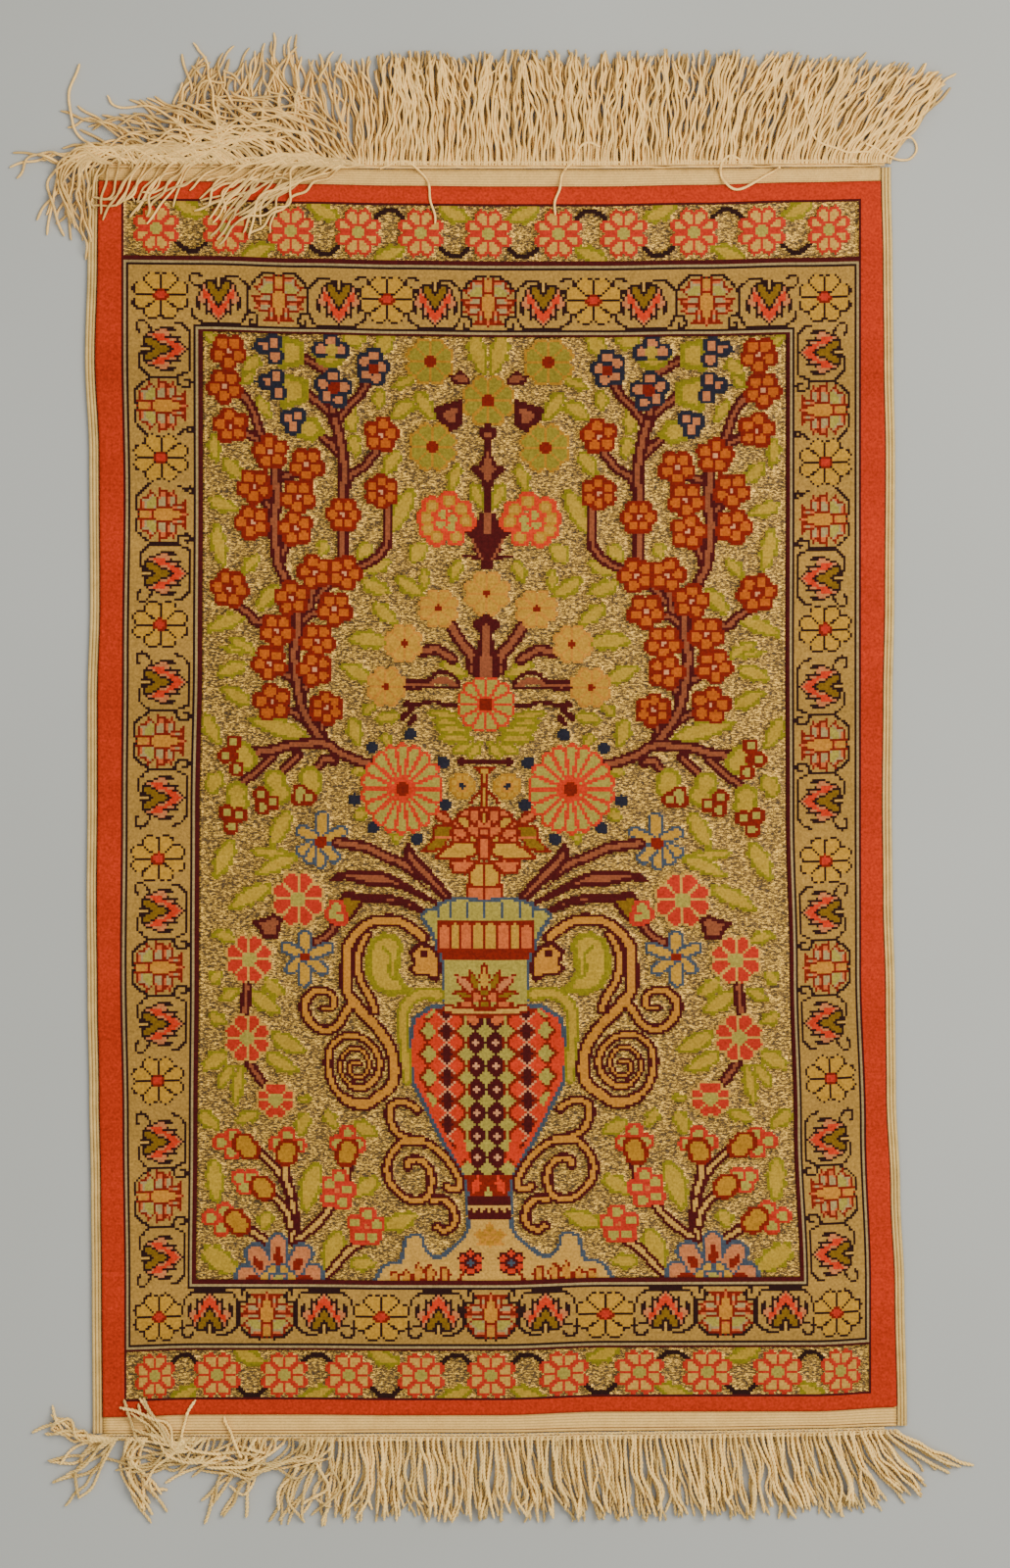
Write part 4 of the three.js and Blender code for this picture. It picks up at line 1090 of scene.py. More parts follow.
    def lower_plants(self) -> None:
        """The flowering plants at the lower corners of the field."""
        c = self.chart
        for points in LOWER_STEMS:
            c.branch(points, 4.6, core=Yarn.TAN)
        for bud in LOWER_BUDS:
            c.cluster(bud.petals, 2.0, Yarn.BRIGHT_RED, Yarn.SAGE, rim=1.5)
            c.cluster(bud.calyx, 3.1, Yarn.DARK_RED, Yarn.GOLD, rim=1.5)
        for places in LOWER_BLOSSOMS:
            c.cluster(places, 2.0, Yarn.BRIGHT_RED, Yarn.SAGE)
            middle = np.mean(places, axis=0)
            c.blob((middle[0], middle[1]), 1.1, Yarn.PINK)

    def half_lotus(self) -> None:
        """The half lotus that each plant grows from, on the field's lower edge."""
        c = self.chart
        petals = [((98.3, 464), (98.3, 462.5), 4.0), ((71.5, 464), (71.5, 461.8), 3.8),
                  ((90, 462), (94.4, 453.6), 4.0), ((80, 462), (75.8, 453.6), 4.0),
                  ((85.5, 462), (85.6, 449), 3.6)]
        for grow, yarn in ((0.9, Yarn.SLATE), (-0.5, Yarn.SALMON)):
            for foot, tip, half in petals:
                c.stroke([foot, tip], yarn, 2 * (half + grow), smooth=False)
        for foot, tip in (((85.6, 459), (85.6, 450.6)), ((91.6, 460.6), (95.6, 454.8)),
                          ((79.4, 460.4), (76, 455))):
            c.leaf(foot, tip, 3.4, Yarn.DARK_RED, Yarn.DARK_RED)
        c.cluster([(83.3, 460.2), (87.9, 460.4), (80.4, 463.2), (90.6, 463.4)], 1.6, Yarn.SLATE,
                  Yarn.YELLOW, rim=0.9)
        c.blob((85.4, 464.6), 2.2, Yarn.SAGE)
        for out in (75.1, 95.4):
            c.blob((out, 465), 3.4, Yarn.DARK_RED, 0.75)


class SideRow(NamedTuple):
    """Where the pile stops at the left and right, at a height up the rug, in millimetres."""

    y: float
    left: float
    right: float


class LineRow(NamedTuple):
    """Where the design's upright lines run, at a height up the rug, in millimetres."""

    y: float
    guard_left: float
    field_left: float
    middle: float
    field_right: float
    guard_right: float


class EndRow(NamedTuple):
    """Where the pile and the flatwoven ends stop, at a place across the rug, in millimetres."""

    x: float
    top_weave: float
    top_pile: float
    bottom_pile: float
    bottom_weave: float


SIDES = [SideRow(*row) for row in (
    (368, -232.5, 230), (320, -233, 231), (262, -234.5, 231.5), (204, -232, 232.5),
    (117, -231.5, 232), (59, -233, 231), (1, -233, 230.5), (-57, -233.5, 231),
    (-115, -233, 232.5), (-173, -232, 233), (-231, -231, 235.5), (-289, -230.5, 238),
    (-366, -230, 239.5),
)]
LINES = [LineRow(*row) for row in (
    (271, -222, -170.8, -2.2, 173.8, 221), (178, -220.5, -170.8, -2.5, 173.8, 221),
    (85, -221.5, -171.2, -3.5, 173.5, 221), (-8, -222, -172.8, -4.6, 173.8, 221),
    (-100, -222.7, -173.1, -4.5, 176.1, 221), (-193, -221, -174, -3, 178.5, 223.9),
    (-286, -219.8, -174.9, -0.6, 182.3, 226.8),
)]
ENDS = [EndRow(*row) for row in (
    (-235, 374.5, 366, -364, -374.5), (-169, 374.5, 365.5, -362.5, -374.5),
    (-111, 374, 364, -362.5, -374.5), (-53, 373.5, 363, -363, -374), (5, 373.5, 362.5, -363, -374),
    (63, 373.5, 362.5, -361, -373), (121, 374, 363.5, -361, -372.5), (179, 374.5, 365, -361, -371.5),
    (240, 375, 366, -358.5, -370),
)]
# How far the knot rows sag towards the right side, in millimetres, by the share of the way down the pile.
ROW_SAG = [(0.0, 0.0), (0.1, 1.7), (0.2, 3.5), (0.3, 4.0), (0.4, 4.0), (0.5, 3.5), (0.6, 2.3), (0.7, 0.6),
           (0.8, 0.0), (1.0, -0.6)]
GUARD_OUT = 154.5
FIELD_EDGE_OUT = 118.5
ROUGH_HALF_WIDTH = 232


def read_table(table: Sequence[NamedTuple], key: str, column: str, at: np.ndarray) -> np.ndarray:
    """Reads a smooth value between a table's rows, as the CAD source does.

    Args:
        table: The rows.
        key: The column that places a row.
        column: The column to read.
        at: The places to read it at.

    Returns:
        The values, shaped as the places.
    """
    rows = sorted(table, key=lambda row: getattr(row, key))
    keys = np.array([getattr(row, key) for row in rows], float)
    values = np.array([getattr(row, column) for row in rows], float)
    place = np.clip(at, keys[0], keys[-1])
    i = np.clip(np.searchsorted(keys, place, side="right") - 1, 0, len(keys) - 2)
    t = (place - keys[i]) / (keys[i + 1] - keys[i])
    t = t * t * (3 - 2 * t)
    return values[i] * (1 - t) + values[i + 1] * t


@dataclass(frozen=True)
class Loom:
    """Lays the chart out on the real, slightly uneven rug."""

    def place(self, column: np.ndarray, row: np.ndarray) -> tuple[np.ndarray, np.ndarray]:
        """Finds the places of knot corners.

        Args:
            column: Corner columns from the left side.
            row: Corner rows from the top of the pile.

        Returns:
            X and Y in millimetres.
        """
        across, down = np.broadcast_arrays(np.asarray(column, float) / COLUMNS,
                                           np.asarray(row, float) / ROWS)
        rough_x = ROUGH_HALF_WIDTH * (2 * across - 1)
        top = read_table(ENDS, "x", "top_pile", rough_x)
        bottom = read_table(ENDS, "x", "bottom_pile", rough_x)
        share, sag = np.array(ROW_SAG).T
        y = top + (bottom - top) * down - across * np.interp(down, share, sag)
        return self.across(across, y), y

    @staticmethod
    def across(share: np.ndarray, y: np.ndarray) -> np.ndarray:
        """Finds X from the share of the way across and the height up the rug.

        Args:
            share: The share of the way from the left edge to the right one.
            y: The height up the rug, in millimetres.

        Returns:
            The places across, in millimetres.
        """
        half = COLUMNS / 2
        signed = share * COLUMNS - half
        stops = [-half, -GUARD_OUT, -FIELD_EDGE_OUT, 0, FIELD_EDGE_OUT, GUARD_OUT, half]
        upright = [read_table(LINES, "y", name, y) for name in LineRow._fields[1:]]
        columns = [read_table(SIDES, "y", "left", y), *upright, read_table(SIDES, "y", "right", y)]
        x = columns[0].copy()
        for start, end, left, right in zip(stops, stops[1:], columns, columns[1:]):
            t = (signed - start) / (end - start)
            x = np.where((t >= 0) & (t <= 1), left + (right - left) * t, x)
        return x


def quads(numbers: np.ndarray) -> np.ndarray:
    """The corners of each quad of a grid of points, whose rows run down and columns to the right."""
    upper, lower = numbers[:-1], numbers[1:]
    return np.stack([lower[:, :-1], lower[:, 1:], upper[:, 1:], upper[:, :-1]], axis=-1)


@dataclass
class MeshDraft:
    """Gathers points and faces, in millimetres, until they become one mesh."""

    name: str
    points: list[np.ndarray] = field(default_factory=list)
    faces: list[tuple[np.ndarray, np.ndarray, np.ndarray, np.ndarray]] = field(default_factory=list)
    smooth: bool = True
    count: int = 0

    def add_points(self, x: np.ndarray, y: np.ndarray, z: np.ndarray) -> np.ndarray:
        """Adds points.

        Args:
            x: Their X, with any shape.
            y: Their Y.
            z: Their Z.

        Returns:
            Their numbers, shaped as X is.
        """
        x, y, z = np.broadcast_arrays(x, y, z)
        self.points.append(np.stack([x.ravel(), y.ravel(), z.ravel()], axis=1))
        numbers = self.count + np.arange(x.size).reshape(x.shape)
        self.count += x.size
        return numbers

    def add_faces(self, corners: np.ndarray, colour: np.ndarray, material: np.ndarray | int = 0,
                  plan: Plan = (0, 0, 1, 1)) -> None:
        """Adds faces with equally many corners.

        Args:
            corners: One row of point numbers for each face.
            colour: A linear colour for each face, or one for all.
            material: A material slot for each face, or one for all.
            plan: The part of the flat map that these faces use.
        """
        n = len(corners)
        self.faces.append((corners, np.broadcast_to(colour, (n, 4)), np.broadcast_to(material, (n,)),
                           np.broadcast_to(np.array(plan, float), (n, 4))))

    def add_grid(self, numbers: np.ndarray, colour: np.ndarray, material: np.ndarray | int = 0,
                 face_up: bool = True, plan: Plan = (0, 0, 1, 1)) -> None:
        """Adds the quads of a grid of points.

        Args:
            numbers: The points' numbers, as a grid.
            colour: The colour of each quad, or one for all.
            material: The slot of each quad, or one for all.
            face_up: Whether the quads face up.
            plan: The part of the flat map that they take: left, bottom, right and top.
        """
        corners = quads(numbers).reshape(-1, 4)
        if not face_up:
            corners = corners[:, ::-1]
        if np.ndim(colour) == 3:
            colour = colour.reshape(-1, 4)
        self.add_faces(corners, colour, material.ravel() if np.ndim(material) else material, plan)

    def add_wall(self, upper: np.ndarray, lower: np.ndarray, colour: np.ndarray,
                 plan: Plan = (0, 0, 1, 1)) -> None:
        """Adds a wall that hangs from one line of points to another, facing right of the way they run."""
        corners = np.stack([upper[:-1], lower[:-1], lower[1:], upper[1:]], axis=1)
        self.add_faces(corners, colour, 0, plan)

    def build(self, materials: Sequence[bpy.types.Material]) -> bpy.types.Object:
        """Makes the mesh and its object.

        Args:
            materials: The materials of its slots.

        Returns:
            The object, linked to the scene.
        """
        points = np.concatenate(self.points) * MM
        corners = np.concatenate([c.ravel() for c, *_ in self.faces]).astype(np.int32)
        totals = np.concatenate([np.full(len(c), c.shape[1]) for c, *_ in self.faces]).astype(np.int32)
        mesh = bpy.data.meshes.new(self.name)
        mesh.vertices.add(len(points))
        mesh.vertices.foreach_set("co", points.astype(np.float32).ravel())
        mesh.loops.add(len(corners))
        mesh.loops.foreach_set("vertex_index", corners)
        mesh.polygons.add(len(totals))
        firsts = np.concatenate([[0], np.cumsum(totals)[:-1]])
        mesh.polygons.foreach_set("loop_start", firsts.astype(np.int32))
        slots = np.concatenate([m for _, _, m, _ in self.faces]).astype(np.int32)
        mesh.polygons.foreach_set("material_index", slots)
        mesh.update(calc_edges=True)
        colours = np.repeat(np.concatenate([colour for _, colour, _, _ in self.faces]), totals, axis=0)
        dye = mesh.color_attributes.new(name="dye", type="FLOAT_COLOR", domain="CORNER")
        dye.data.foreach_set("color", colours.astype(np.float32).ravel())
        low, high = points.min(axis=0), points.max(axis=0)
        plan = np.repeat(np.concatenate([p for *_, p in self.faces]), totals, axis=0)
        share = (points[corners, :2] - low[:2]) / (high[:2] - low[:2])
        flat = plan[:, :2] + share * (plan[:, 2:] - plan[:, :2])
        mesh.uv_layers.new(name="OFBake").data.foreach_set("uv", flat.astype(np.float32).ravel())
        mesh.polygons.foreach_set("use_smooth", np.full(len(totals), self.smooth))
        for material in materials:
            mesh.materials.append(material)
        mesh.validate()
        made = bpy.data.objects.new(self.name, mesh)
        bpy.context.scene.collection.objects.link(made)
        return made


def add_node(tree: bpy.types.NodeTree, kind: str, inputs: dict[str | int, Any] | None = None,
             **settings: Any) -> bpy.types.Node:
    """Adds a node with its settings, and sets or links its inputs.

    Args:
        tree: The tree to add it to.
        kind: The node's type name.
        inputs: Values, or output sockets to link, by input name or number.
        **settings: The node's own properties.

    Returns:
        The node.
    """
    node = tree.nodes.new(kind)
    for name, value in settings.items():
        setattr(node, name, value)
    for key, value in (inputs or {}).items():
        if isinstance(value, bpy.types.NodeSocket):
            tree.links.new(value, node.inputs[key])
        else:
            node.inputs[key].default_value = value
    return node


def new_material(name: str) -> tuple[bpy.types.Material, bpy.types.NodeTree, bpy.types.Node]:
    """Makes an empty material.

    Args:
        name: The real material and how it is made.

    Returns:
        The material, its tree and its shader.
    """
    material = bpy.data.materials.new(name)
    material.use_nodes = True
    tree = material.node_tree
    shader = next(n for n in tree.nodes if n.type == "BSDF_PRINCIPLED")
    return material, tree, shader


@dataclass(frozen=True)
class SilkPile:
    """Knotted silk, cut level: soft and varied by the tuft. Its colour is darkened below its dye as painted
    shade, for the light that sinks between the tufts.
    """

    name: str = "silk_knotted_and_cut"
    roughness: float = 0.85
    sheen: float = 0.03
    sheen_roughness: float = 0.4
    specular: float = 0.1
    tuft_mm: float = 0.7
    tuft_contrast: float = 0.22
    # depth is painted shade: the share of the dye's brightness left once the shade between the tufts is
    # painted in.
    depth: float = 0.66
    bump_mm: float = 0.35
    bump_strength: float = 0.5

    def build(self) -> bpy.types.Material:
        """Builds the material.

        Returns:
            The material.
        """
        material, tree, shader = new_material(self.name)
        place = add_node(tree, "ShaderNodeTexCoord").outputs["Object"]
        dye = add_node(tree, "ShaderNodeAttribute", attribute_name="dye").outputs["Color"]
        tufts = add_node(tree, "ShaderNodeTexNoise",
                         {"Vector": place, "Scale": 1000 / self.tuft_mm / 2, "Detail": 2.0})
        # The tufts vary the colour at random, and depth darkens all of it as painted shade.
        shade = add_node(tree, "ShaderNodeMapRange", {
            "Value": tufts.outputs["Fac"], "From Min": NOISE_LOW, "From Max": NOISE_HIGH,
            "To Min": self.depth * (1 - self.tuft_contrast), "To Max": self.depth * (1 + self.tuft_contrast)})
        colour = add_node(tree, "ShaderNodeVectorMath", {0: dye, 1: shade.outputs["Result"]},
                          operation="MULTIPLY")
        tree.links.new(colour.outputs["Vector"], shader.inputs["Base Color"])
        shader.inputs["Roughness"].default_value = self.roughness
        shader.inputs["Sheen Weight"].default_value = self.sheen
        shader.inputs["Sheen Roughness"].default_value = self.sheen_roughness
        shader.inputs["Specular IOR Level"].default_value = self.specular
        bump = add_node(tree, "ShaderNodeBump", {
            "Height": tufts.outputs["Fac"], "Strength": self.bump_strength, "Distance": self.bump_mm * MM})
        tree.links.new(bump.outputs["Normal"], shader.inputs["Normal"])
        return material


@dataclass(frozen=True)
class MetalThread:
    """Gilt metal strip wound on a silk core and brocaded flat: it glints, with painted glints and shade in
    its grain.
    """

    name: str = "gilt_metal_thread_brocaded"
    # Colour ramp over the grain noise: the light grains are painted glints and the dark ones painted shade
    # between the threads, around the gilt's own tone.
    dark: str = "#332206"
    middle: str = "#614509"
    light: str = "#E8B648"
    levels: tuple[float, float, float] = (0.39, 0.5, 0.66)
    grain_mm: float = 0.6
    grain_stretch: tuple[float, float, float] = (0.6, 1.4, 1.0)
    metallic: float = 0.55
    roughness: float = 0.42
    bump_mm: float = 0.4
    bump_strength: float = 0.8

    def build(self) -> bpy.types.Material:
        """Builds the material.

        Returns:
            The material.
        """
        material, tree, shader = new_material(self.name)
        place = add_node(tree, "ShaderNodeTexCoord").outputs["Object"]
        stretched = add_node(tree, "ShaderNodeMapping", {"Vector": place, "Scale": self.grain_stretch})
        grain = add_node(tree, "ShaderNodeTexNoise", {
            "Vector": stretched.outputs["Vector"], "Scale": 1000 / self.grain_mm / 2, "Detail": 3.0,
            "Roughness": 0.7})
        ramp = add_node(tree, "ShaderNodeValToRGB", {"Fac": grain.outputs["Fac"]})
        elements = ramp.color_ramp.elements
        elements[0].position, elements[1].position = self.levels[0], self.levels[2]
        elements.new(self.levels[1])
        for element, colour in zip(elements, (self.dark, self.middle, self.light)):
            element.color = linear(colour)
        tree.links.new(ramp.outputs["Color"], shader.inputs["Base Color"])
        shader.inputs["Metallic"].default_value = self.metallic
        shader.inputs["Roughness"].default_value = self.roughness
        bump = add_node(tree, "ShaderNodeBump", {
            "Height": grain.outputs["Fac"], "Strength": self.bump_strength, "Distance": self.bump_mm * MM})
        tree.links.new(bump.outputs["Normal"], shader.inputs["Normal"])
        return material


@dataclass(frozen=True)
class CordSilk:
    """Plied, overcast or flatwoven cream silk, a little uneven and greyed where it was touched."""

    name: str
    colour: str
    shade: str
    patch_mm: float = 9.0
    fibre_mm: float = 0.5
    fibre_shade: tuple[float, float] = (0.85, 1.12)
    roughness: float = 0.55
    specular: float = 0.35
    sheen: float = 0.05
    bump_mm: float = 0.3
    bump_strength: float = 0.4

    def build(self) -> bpy.types.Material:
        """Builds the material.

        Returns:
            The material.
        """
        material, tree, shader = new_material(self.name)
        place = add_node(tree, "ShaderNodeTexCoord").outputs["Object"]
        patches = add_node(tree, "ShaderNodeTexNoise",
                           {"Vector": place, "Scale": 1000 / self.patch_mm, "Detail": 3.0})
        fibres = add_node(tree, "ShaderNodeTexNoise",
                          {"Vector": place, "Scale": 1000 / self.fibre_mm / 2, "Detail": 2.0})
        dye = add_node(tree, "ShaderNodeAttribute", attribute_name="dye").outputs["Color"]
        blended = add_node(tree, "ShaderNodeMix",
                           {0: patches.outputs["Fac"], 6: linear(self.shade), 7: linear(self.colour)},
                           data_type="RGBA")
        level = add_node(tree, "ShaderNodeMapRange", {
            "Value": fibres.outputs["Fac"], "From Min": NOISE_LOW, "From Max": NOISE_HIGH,
            "To Min": self.fibre_shade[0], "To Max": self.fibre_shade[1]})
        uneven = add_node(tree, "ShaderNodeVectorMath", {0: blended.outputs[2], 1: level.outputs["Result"]},
                          operation="MULTIPLY")
        colour = add_node(tree, "ShaderNodeVectorMath", {0: uneven.outputs["Vector"], 1: dye},
                          operation="MULTIPLY")
        tree.links.new(colour.outputs["Vector"], shader.inputs["Base Color"])
        shader.inputs["Roughness"].default_value = self.roughness
        shader.inputs["Specular IOR Level"].default_value = self.specular
        shader.inputs["Sheen Weight"].default_value = self.sheen
        bump = add_node(tree, "ShaderNodeBump", {
            "Height": fibres.outputs["Fac"], "Strength": self.bump_strength, "Distance": self.bump_mm * MM})
        tree.links.new(bump.outputs["Normal"], shader.inputs["Normal"])
        return material


@dataclass
class Cloth:
    """The knotted cloth: a foundation with flatwoven ends, and the pile of the field and of the borders."""

    design: np.ndarray
    loom: Loom = Loom()
    unevenness: float = 0.13
    metal_unevenness: float = 0.2
    dye_spread: float = 0.05
    foot_lean: float = 0.9
    side_lean: float = 0.15
    band_rows: int = 7
    steps_in_row: int = 3
    groove_depth: float = 0.4
    # Painted shade on the step down into each groove of the flatwoven ends.
    painted_groove_shade: float = 0.7
    dark_weft: int = 17
    back_step: int = 3
    floor_colour: str = "#8C5A3C"
    hidden_colour: str = "#8C6A44"
    dark_weft_colour: str = "#7A5A38"
    pile_plan: Plan = (0, 0, 0.96, 1)
    wall_plan: Plan = (0.97, 0, 1, 1)

    def __post_init__(self) -> None:
        """Works out where the knots' corners lie, and each knot's colour."""
        rng = np.random.default_rng(7)
        rows, columns = np.mgrid[0 : ROWS + 1, 0 : COLUMNS + 1]
        self.x, self.y = self.loom.place(columns, rows)
        self.metal = self.design == Yarn.METAL
        tip = np.where(self.metal, METAL_TOP, PILE_TOP)
        padded = np.pad(tip, 1, mode="edge")
        mean = (padded[:-1, :-1] + padded[1:, :-1] + padded[:-1, 1:] + padded[1:, 1:]) / 4
        low = np.where(mean < (METAL_TOP + PILE_TOP) / 2, self.metal_unevenness, self.unevenness)
        swell = 0.15 * np.sin(self.x / 47 + 1) * np.sin(self.y / 61)
        self.z = mean + swell + low * rng.uniform(-1, 1, mean.shape)
        self.colour = self.dyed(rng)

    def dyed(self, rng: np.random.Generator) -> np.ndarray:
        """The linear colour of each knot: its yarn's dye, varied by the row's dye lot and by the knot.

        Args:
            rng: The generator that the draws come from.

        Returns:
            The colours, by row and column.
        """
        table = np.array([linear(yarn.dye) for yarn in Yarn])
        colour = table[self.design]
        rows = np.arange(ROWS)
        lots = 1 + 0.05 * np.sin(rows / 23 + 1) + 0.04 * np.sin(rows / 7.3) + rng.normal(0, 0.025, ROWS)
        own = rng.normal(1, self.dye_spread, (ROWS, COLUMNS))
        colour[..., :3] *= (lots[:, None] * own)[..., None]
        return np.clip(colour, 0, 1)

    def pile(self, name: str, outer: Block, hole: Block | None,
             materials: Sequence[bpy.types.Material]) -> bpy.types.Object:
        """Builds one closed block of pile.

        Args:
            name: The piece's name.
            outer: Its first and last knot corners: left, top, right, bottom.
            hole: The corners of the block left out of its middle, if any.
            materials: Silk first, then metal thread.

        Returns:
            The piece.
        """
        left, top, right, bottom = outer
        draft = MeshDraft(name)
        area = np.s_[top : bottom + 1, left : right + 1]
        upper = draft.add_points(self.x[area], self.y[area], self.z[area])
        cells = np.s_[top:bottom, left:right]
        keep = np.ones((bottom - top, right - left), bool)
        if hole:
            keep[hole[1] - top : hole[3] - top, hole[0] - left : hole[2] - left] = False
        corners = quads(upper)[keep]
        draft.add_faces(corners, self.colour[cells][keep], self.metal[cells][keep].astype(int),
                        self.pile_plan)
        rim = self.close_block(draft, upper, outer, outer, True)
        if hole:
            inner = self.close_block(draft, upper, outer, hole, False)
            floors = [np.concatenate([side, inner_side[::-1]]) for side, inner_side in zip(rim, inner)]
        else:
            floors = [np.concatenate([side[:-1] for side in rim])]
        for floor in floors:
            draft.add_faces(floor[None], np.array(linear(self.floor_colour)), 0, self.wall_plan)
        return self.tidy(draft, materials)

    def close_block(self, draft: MeshDraft, upper: np.ndarray, outer: Block, ring: Block,
                    outside: bool) -> list[np.ndarray]:
        """Drops walls from a ring of knot corners to the pile's foot.

        Args:
            draft: The mesh in the making.
            upper: The numbers of the block's upper points.
            outer: The block's corners.
            ring: The corners that the walls hang from.
            outside: Whether they bound the block, and not its hole.

        Returns:
            The numbers of the foot's points, clockwise from above: top, right, bottom and left side.
        """
        left, top, right, bottom = ring
        dx, dy = outer[0], outer[1]
        spans = [
            (np.arange(left, right + 1), np.full(right - left + 1, top), 0, self.foot_lean),
            (np.full(bottom - top + 1, right), np.arange(top, bottom + 1), self.side_lean, 0),
            (np.arange(right, left - 1, -1), np.full(right - left + 1, bottom), 0, -self.foot_lean),
            (np.full(bottom - top + 1, left), np.arange(bottom, top - 1, -1), -self.side_lean, 0),
        ]
        feet = np.full((ROWS + 1, COLUMNS + 1), -1)
        parts = []
        for columns, rows, lean_x, lean_y in spans:
            whole_cloth = outside and (left, top, right, bottom) == (0, 0, COLUMNS, ROWS)
            x = self.x[rows, columns] + (lean_x if whole_cloth else 0)
            y = self.y[rows, columns] + (lean_y if whole_cloth else 0)
            fresh = feet[rows, columns] < 0
            numbers = feet[rows, columns].copy()
            numbers[fresh] = draft.add_points(x[fresh], y[fresh], np.full(int(fresh.sum()), PILE_FOOT))
            feet[rows, columns] = numbers
            heads = upper[rows - dy, columns - dx]
            colour = self.colour[np.clip(rows[:-1], 0, ROWS - 1), np.clip(columns[:-1], 0, COLUMNS - 1)]
            way = -1 if outside else 1
            draft.add_wall(heads[::way], numbers[::way], colour[::way], self.wall_plan)
            parts.append(numbers)
        return parts

    @staticmethod
    def tidy(draft: MeshDraft, materials: Sequence[bpy.types.Material]) -> bpy.types.Object:
        """Drops the points that no face uses, and builds the mesh.

        Args:
            draft: The mesh in the making.
            materials: The materials of its slots.

        Returns:
            The object, linked to the scene.
        """
        points = np.concatenate(draft.points)
        used = np.zeros(len(points), bool)
        for corners, *_ in draft.faces:
            used[corners.ravel()] = True
        renumber = np.cumsum(used) - 1
        draft.points = [points[used]]
        draft.faces = [(renumber[corners], *rest) for corners, *rest in draft.faces]
        return draft.build(materials)

    def foundation(self, materials: Sequence[bpy.types.Material]) -> bpy.types.Object:
        """Builds the foundation: warps and wefts with the flatwoven ends, and the pattern on the back.

        Args:
            materials: The back's silk first, then the flatweave.

        Returns:
            The piece.
        """
        columns = np.unique(np.append(np.arange(0, COLUMNS, self.back_step), COLUMNS))
        rows = np.unique(np.append(np.arange(0, ROWS, self.back_step), ROWS))
        rough_x = ROUGH_HALF_WIDTH * (2 * columns / COLUMNS - 1)
        pile_x, pile_y = self.x[rows][:, columns], self.y[rows][:, columns]
        steps = self.band_rows * self.steps_in_row
        share = np.linspace(0, 1, steps + 1)[:, None]
        ends = {name: read_table(ENDS, "x", name, rough_x)[None] for name in ("top_weave", "bottom_weave")}
        top_y = ends["top_weave"] + (pile_y[:1] - ends["top_weave"]) * share
        bottom_y = pile_y[-1:] + (ends["bottom_weave"] - pile_y[-1:]) * share
        top_x = np.broadcast_to(pile_x[:1], top_y.shape)
        bottom_x = np.broadcast_to(pile_x[-1:], bottom_y.shape)
        ridge = np.abs(np.sin(np.pi * np.arange(steps + 1) / self.steps_in_row))[:, None]
        band_z = FLATWEAVE_TOP - self.groove_depth + self.groove_depth * ridge
        draft = MeshDraft("rug_foundation")
        all_x = np.vstack([top_x, pile_x[1:-1], bottom_x])
        all_y = np.vstack([top_y, pile_y[1:-1], bottom_y])
        under = draft.add_points(all_x, all_y, 0.0)
        top_band = draft.add_points(top_x, top_y, band_z)
        bottom_band = draft.add_points(bottom_x, bottom_y, band_z)
        left = draft.add_points(pile_x[1:-1, 0], pile_y[1:-1, 0], FLATWEAVE_TOP)
        right = draft.add_points(pile_x[1:-1, -1], pile_y[1:-1, -1], FLATWEAVE_TOP)
        plain = np.ones(4)
        back_plan, face_plan, side = (0, 0, 0.49, 1), (0.51, 0, 0.98, 1), (0.985, 0, 1, 1)
        band_colour = np.ones((steps, len(columns) - 1, 4))
        # Painted shade: the step down into each weft row's groove is darkened, and the back reuses these
        # colours.
        band_colour[self.steps_in_row - 1 :: self.steps_in_row, :, :3] *= self.painted_groove_shade
        draft.add_grid(top_band, band_colour, 1, True, face_plan)
        bottom_colour = band_colour.copy()
        bottom_colour[self.dark_weft] = linear(self.dark_weft_colour)
        draft.add_grid(bottom_band, bottom_colour, 1, True, face_plan)
        hidden = np.array(linear(self.hidden_colour))
        cell = np.stack([left[1:], right[1:], right[:-1], left[:-1]], axis=1)
        draft.add_faces(cell, hidden, 1, side)
        draft.add_faces(np.concatenate([left[:1], right[:1], top_band[-1][::-1]])[None], hidden, 1, side)
        draft.add_faces(np.concatenate([bottom_band[0], right[-1:], left[-1:]])[None], hidden, 1, side)
        pattern = self.colour[np.ix_(np.minimum(rows[:-1], ROWS - 1), np.minimum(columns[:-1], COLUMNS - 1))]
        back = np.concatenate([band_colour, pattern, band_colour])
        slots = np.concatenate([np.ones(band_colour.shape[:2], int), np.zeros(pattern.shape[:2], int),
                                np.ones(band_colour.shape[:2], int)])
        draft.add_grid(under, back, slots, False, back_plan)
        left_top = np.concatenate([top_band[:, 0], left, bottom_band[:, 0]])
        right_top = np.concatenate([top_band[:, -1], right, bottom_band[:, -1]])
        draft.add_wall(left_top, under[:, 0], plain, side)
        draft.add_wall(right_top[::-1], under[::-1, -1], plain, side)
        draft.add_wall(top_band[0][::-1], under[0][::-1], plain, side)
        draft.add_wall(bottom_band[-1], under[-1], plain, side)
        return draft.build(materials)


class CombRow(NamedTuple):
    """How a fringe cord lies: middle and tip from its root, across the rug and outwards from its end."""

    root: float
    mid_x: float
    mid_out: float
    tip_x: float
    tip_out: float


class Swath(NamedTuple):
    """Neighbouring cords swept one way: how many, and the routes of the first and the last.

    The places are (x, out): across the rug, and outwards from its end. Below nothing they lie on the cloth.
    """

    count: int
    first: tuple[Place, ...]
    last: tuple[Place, ...]


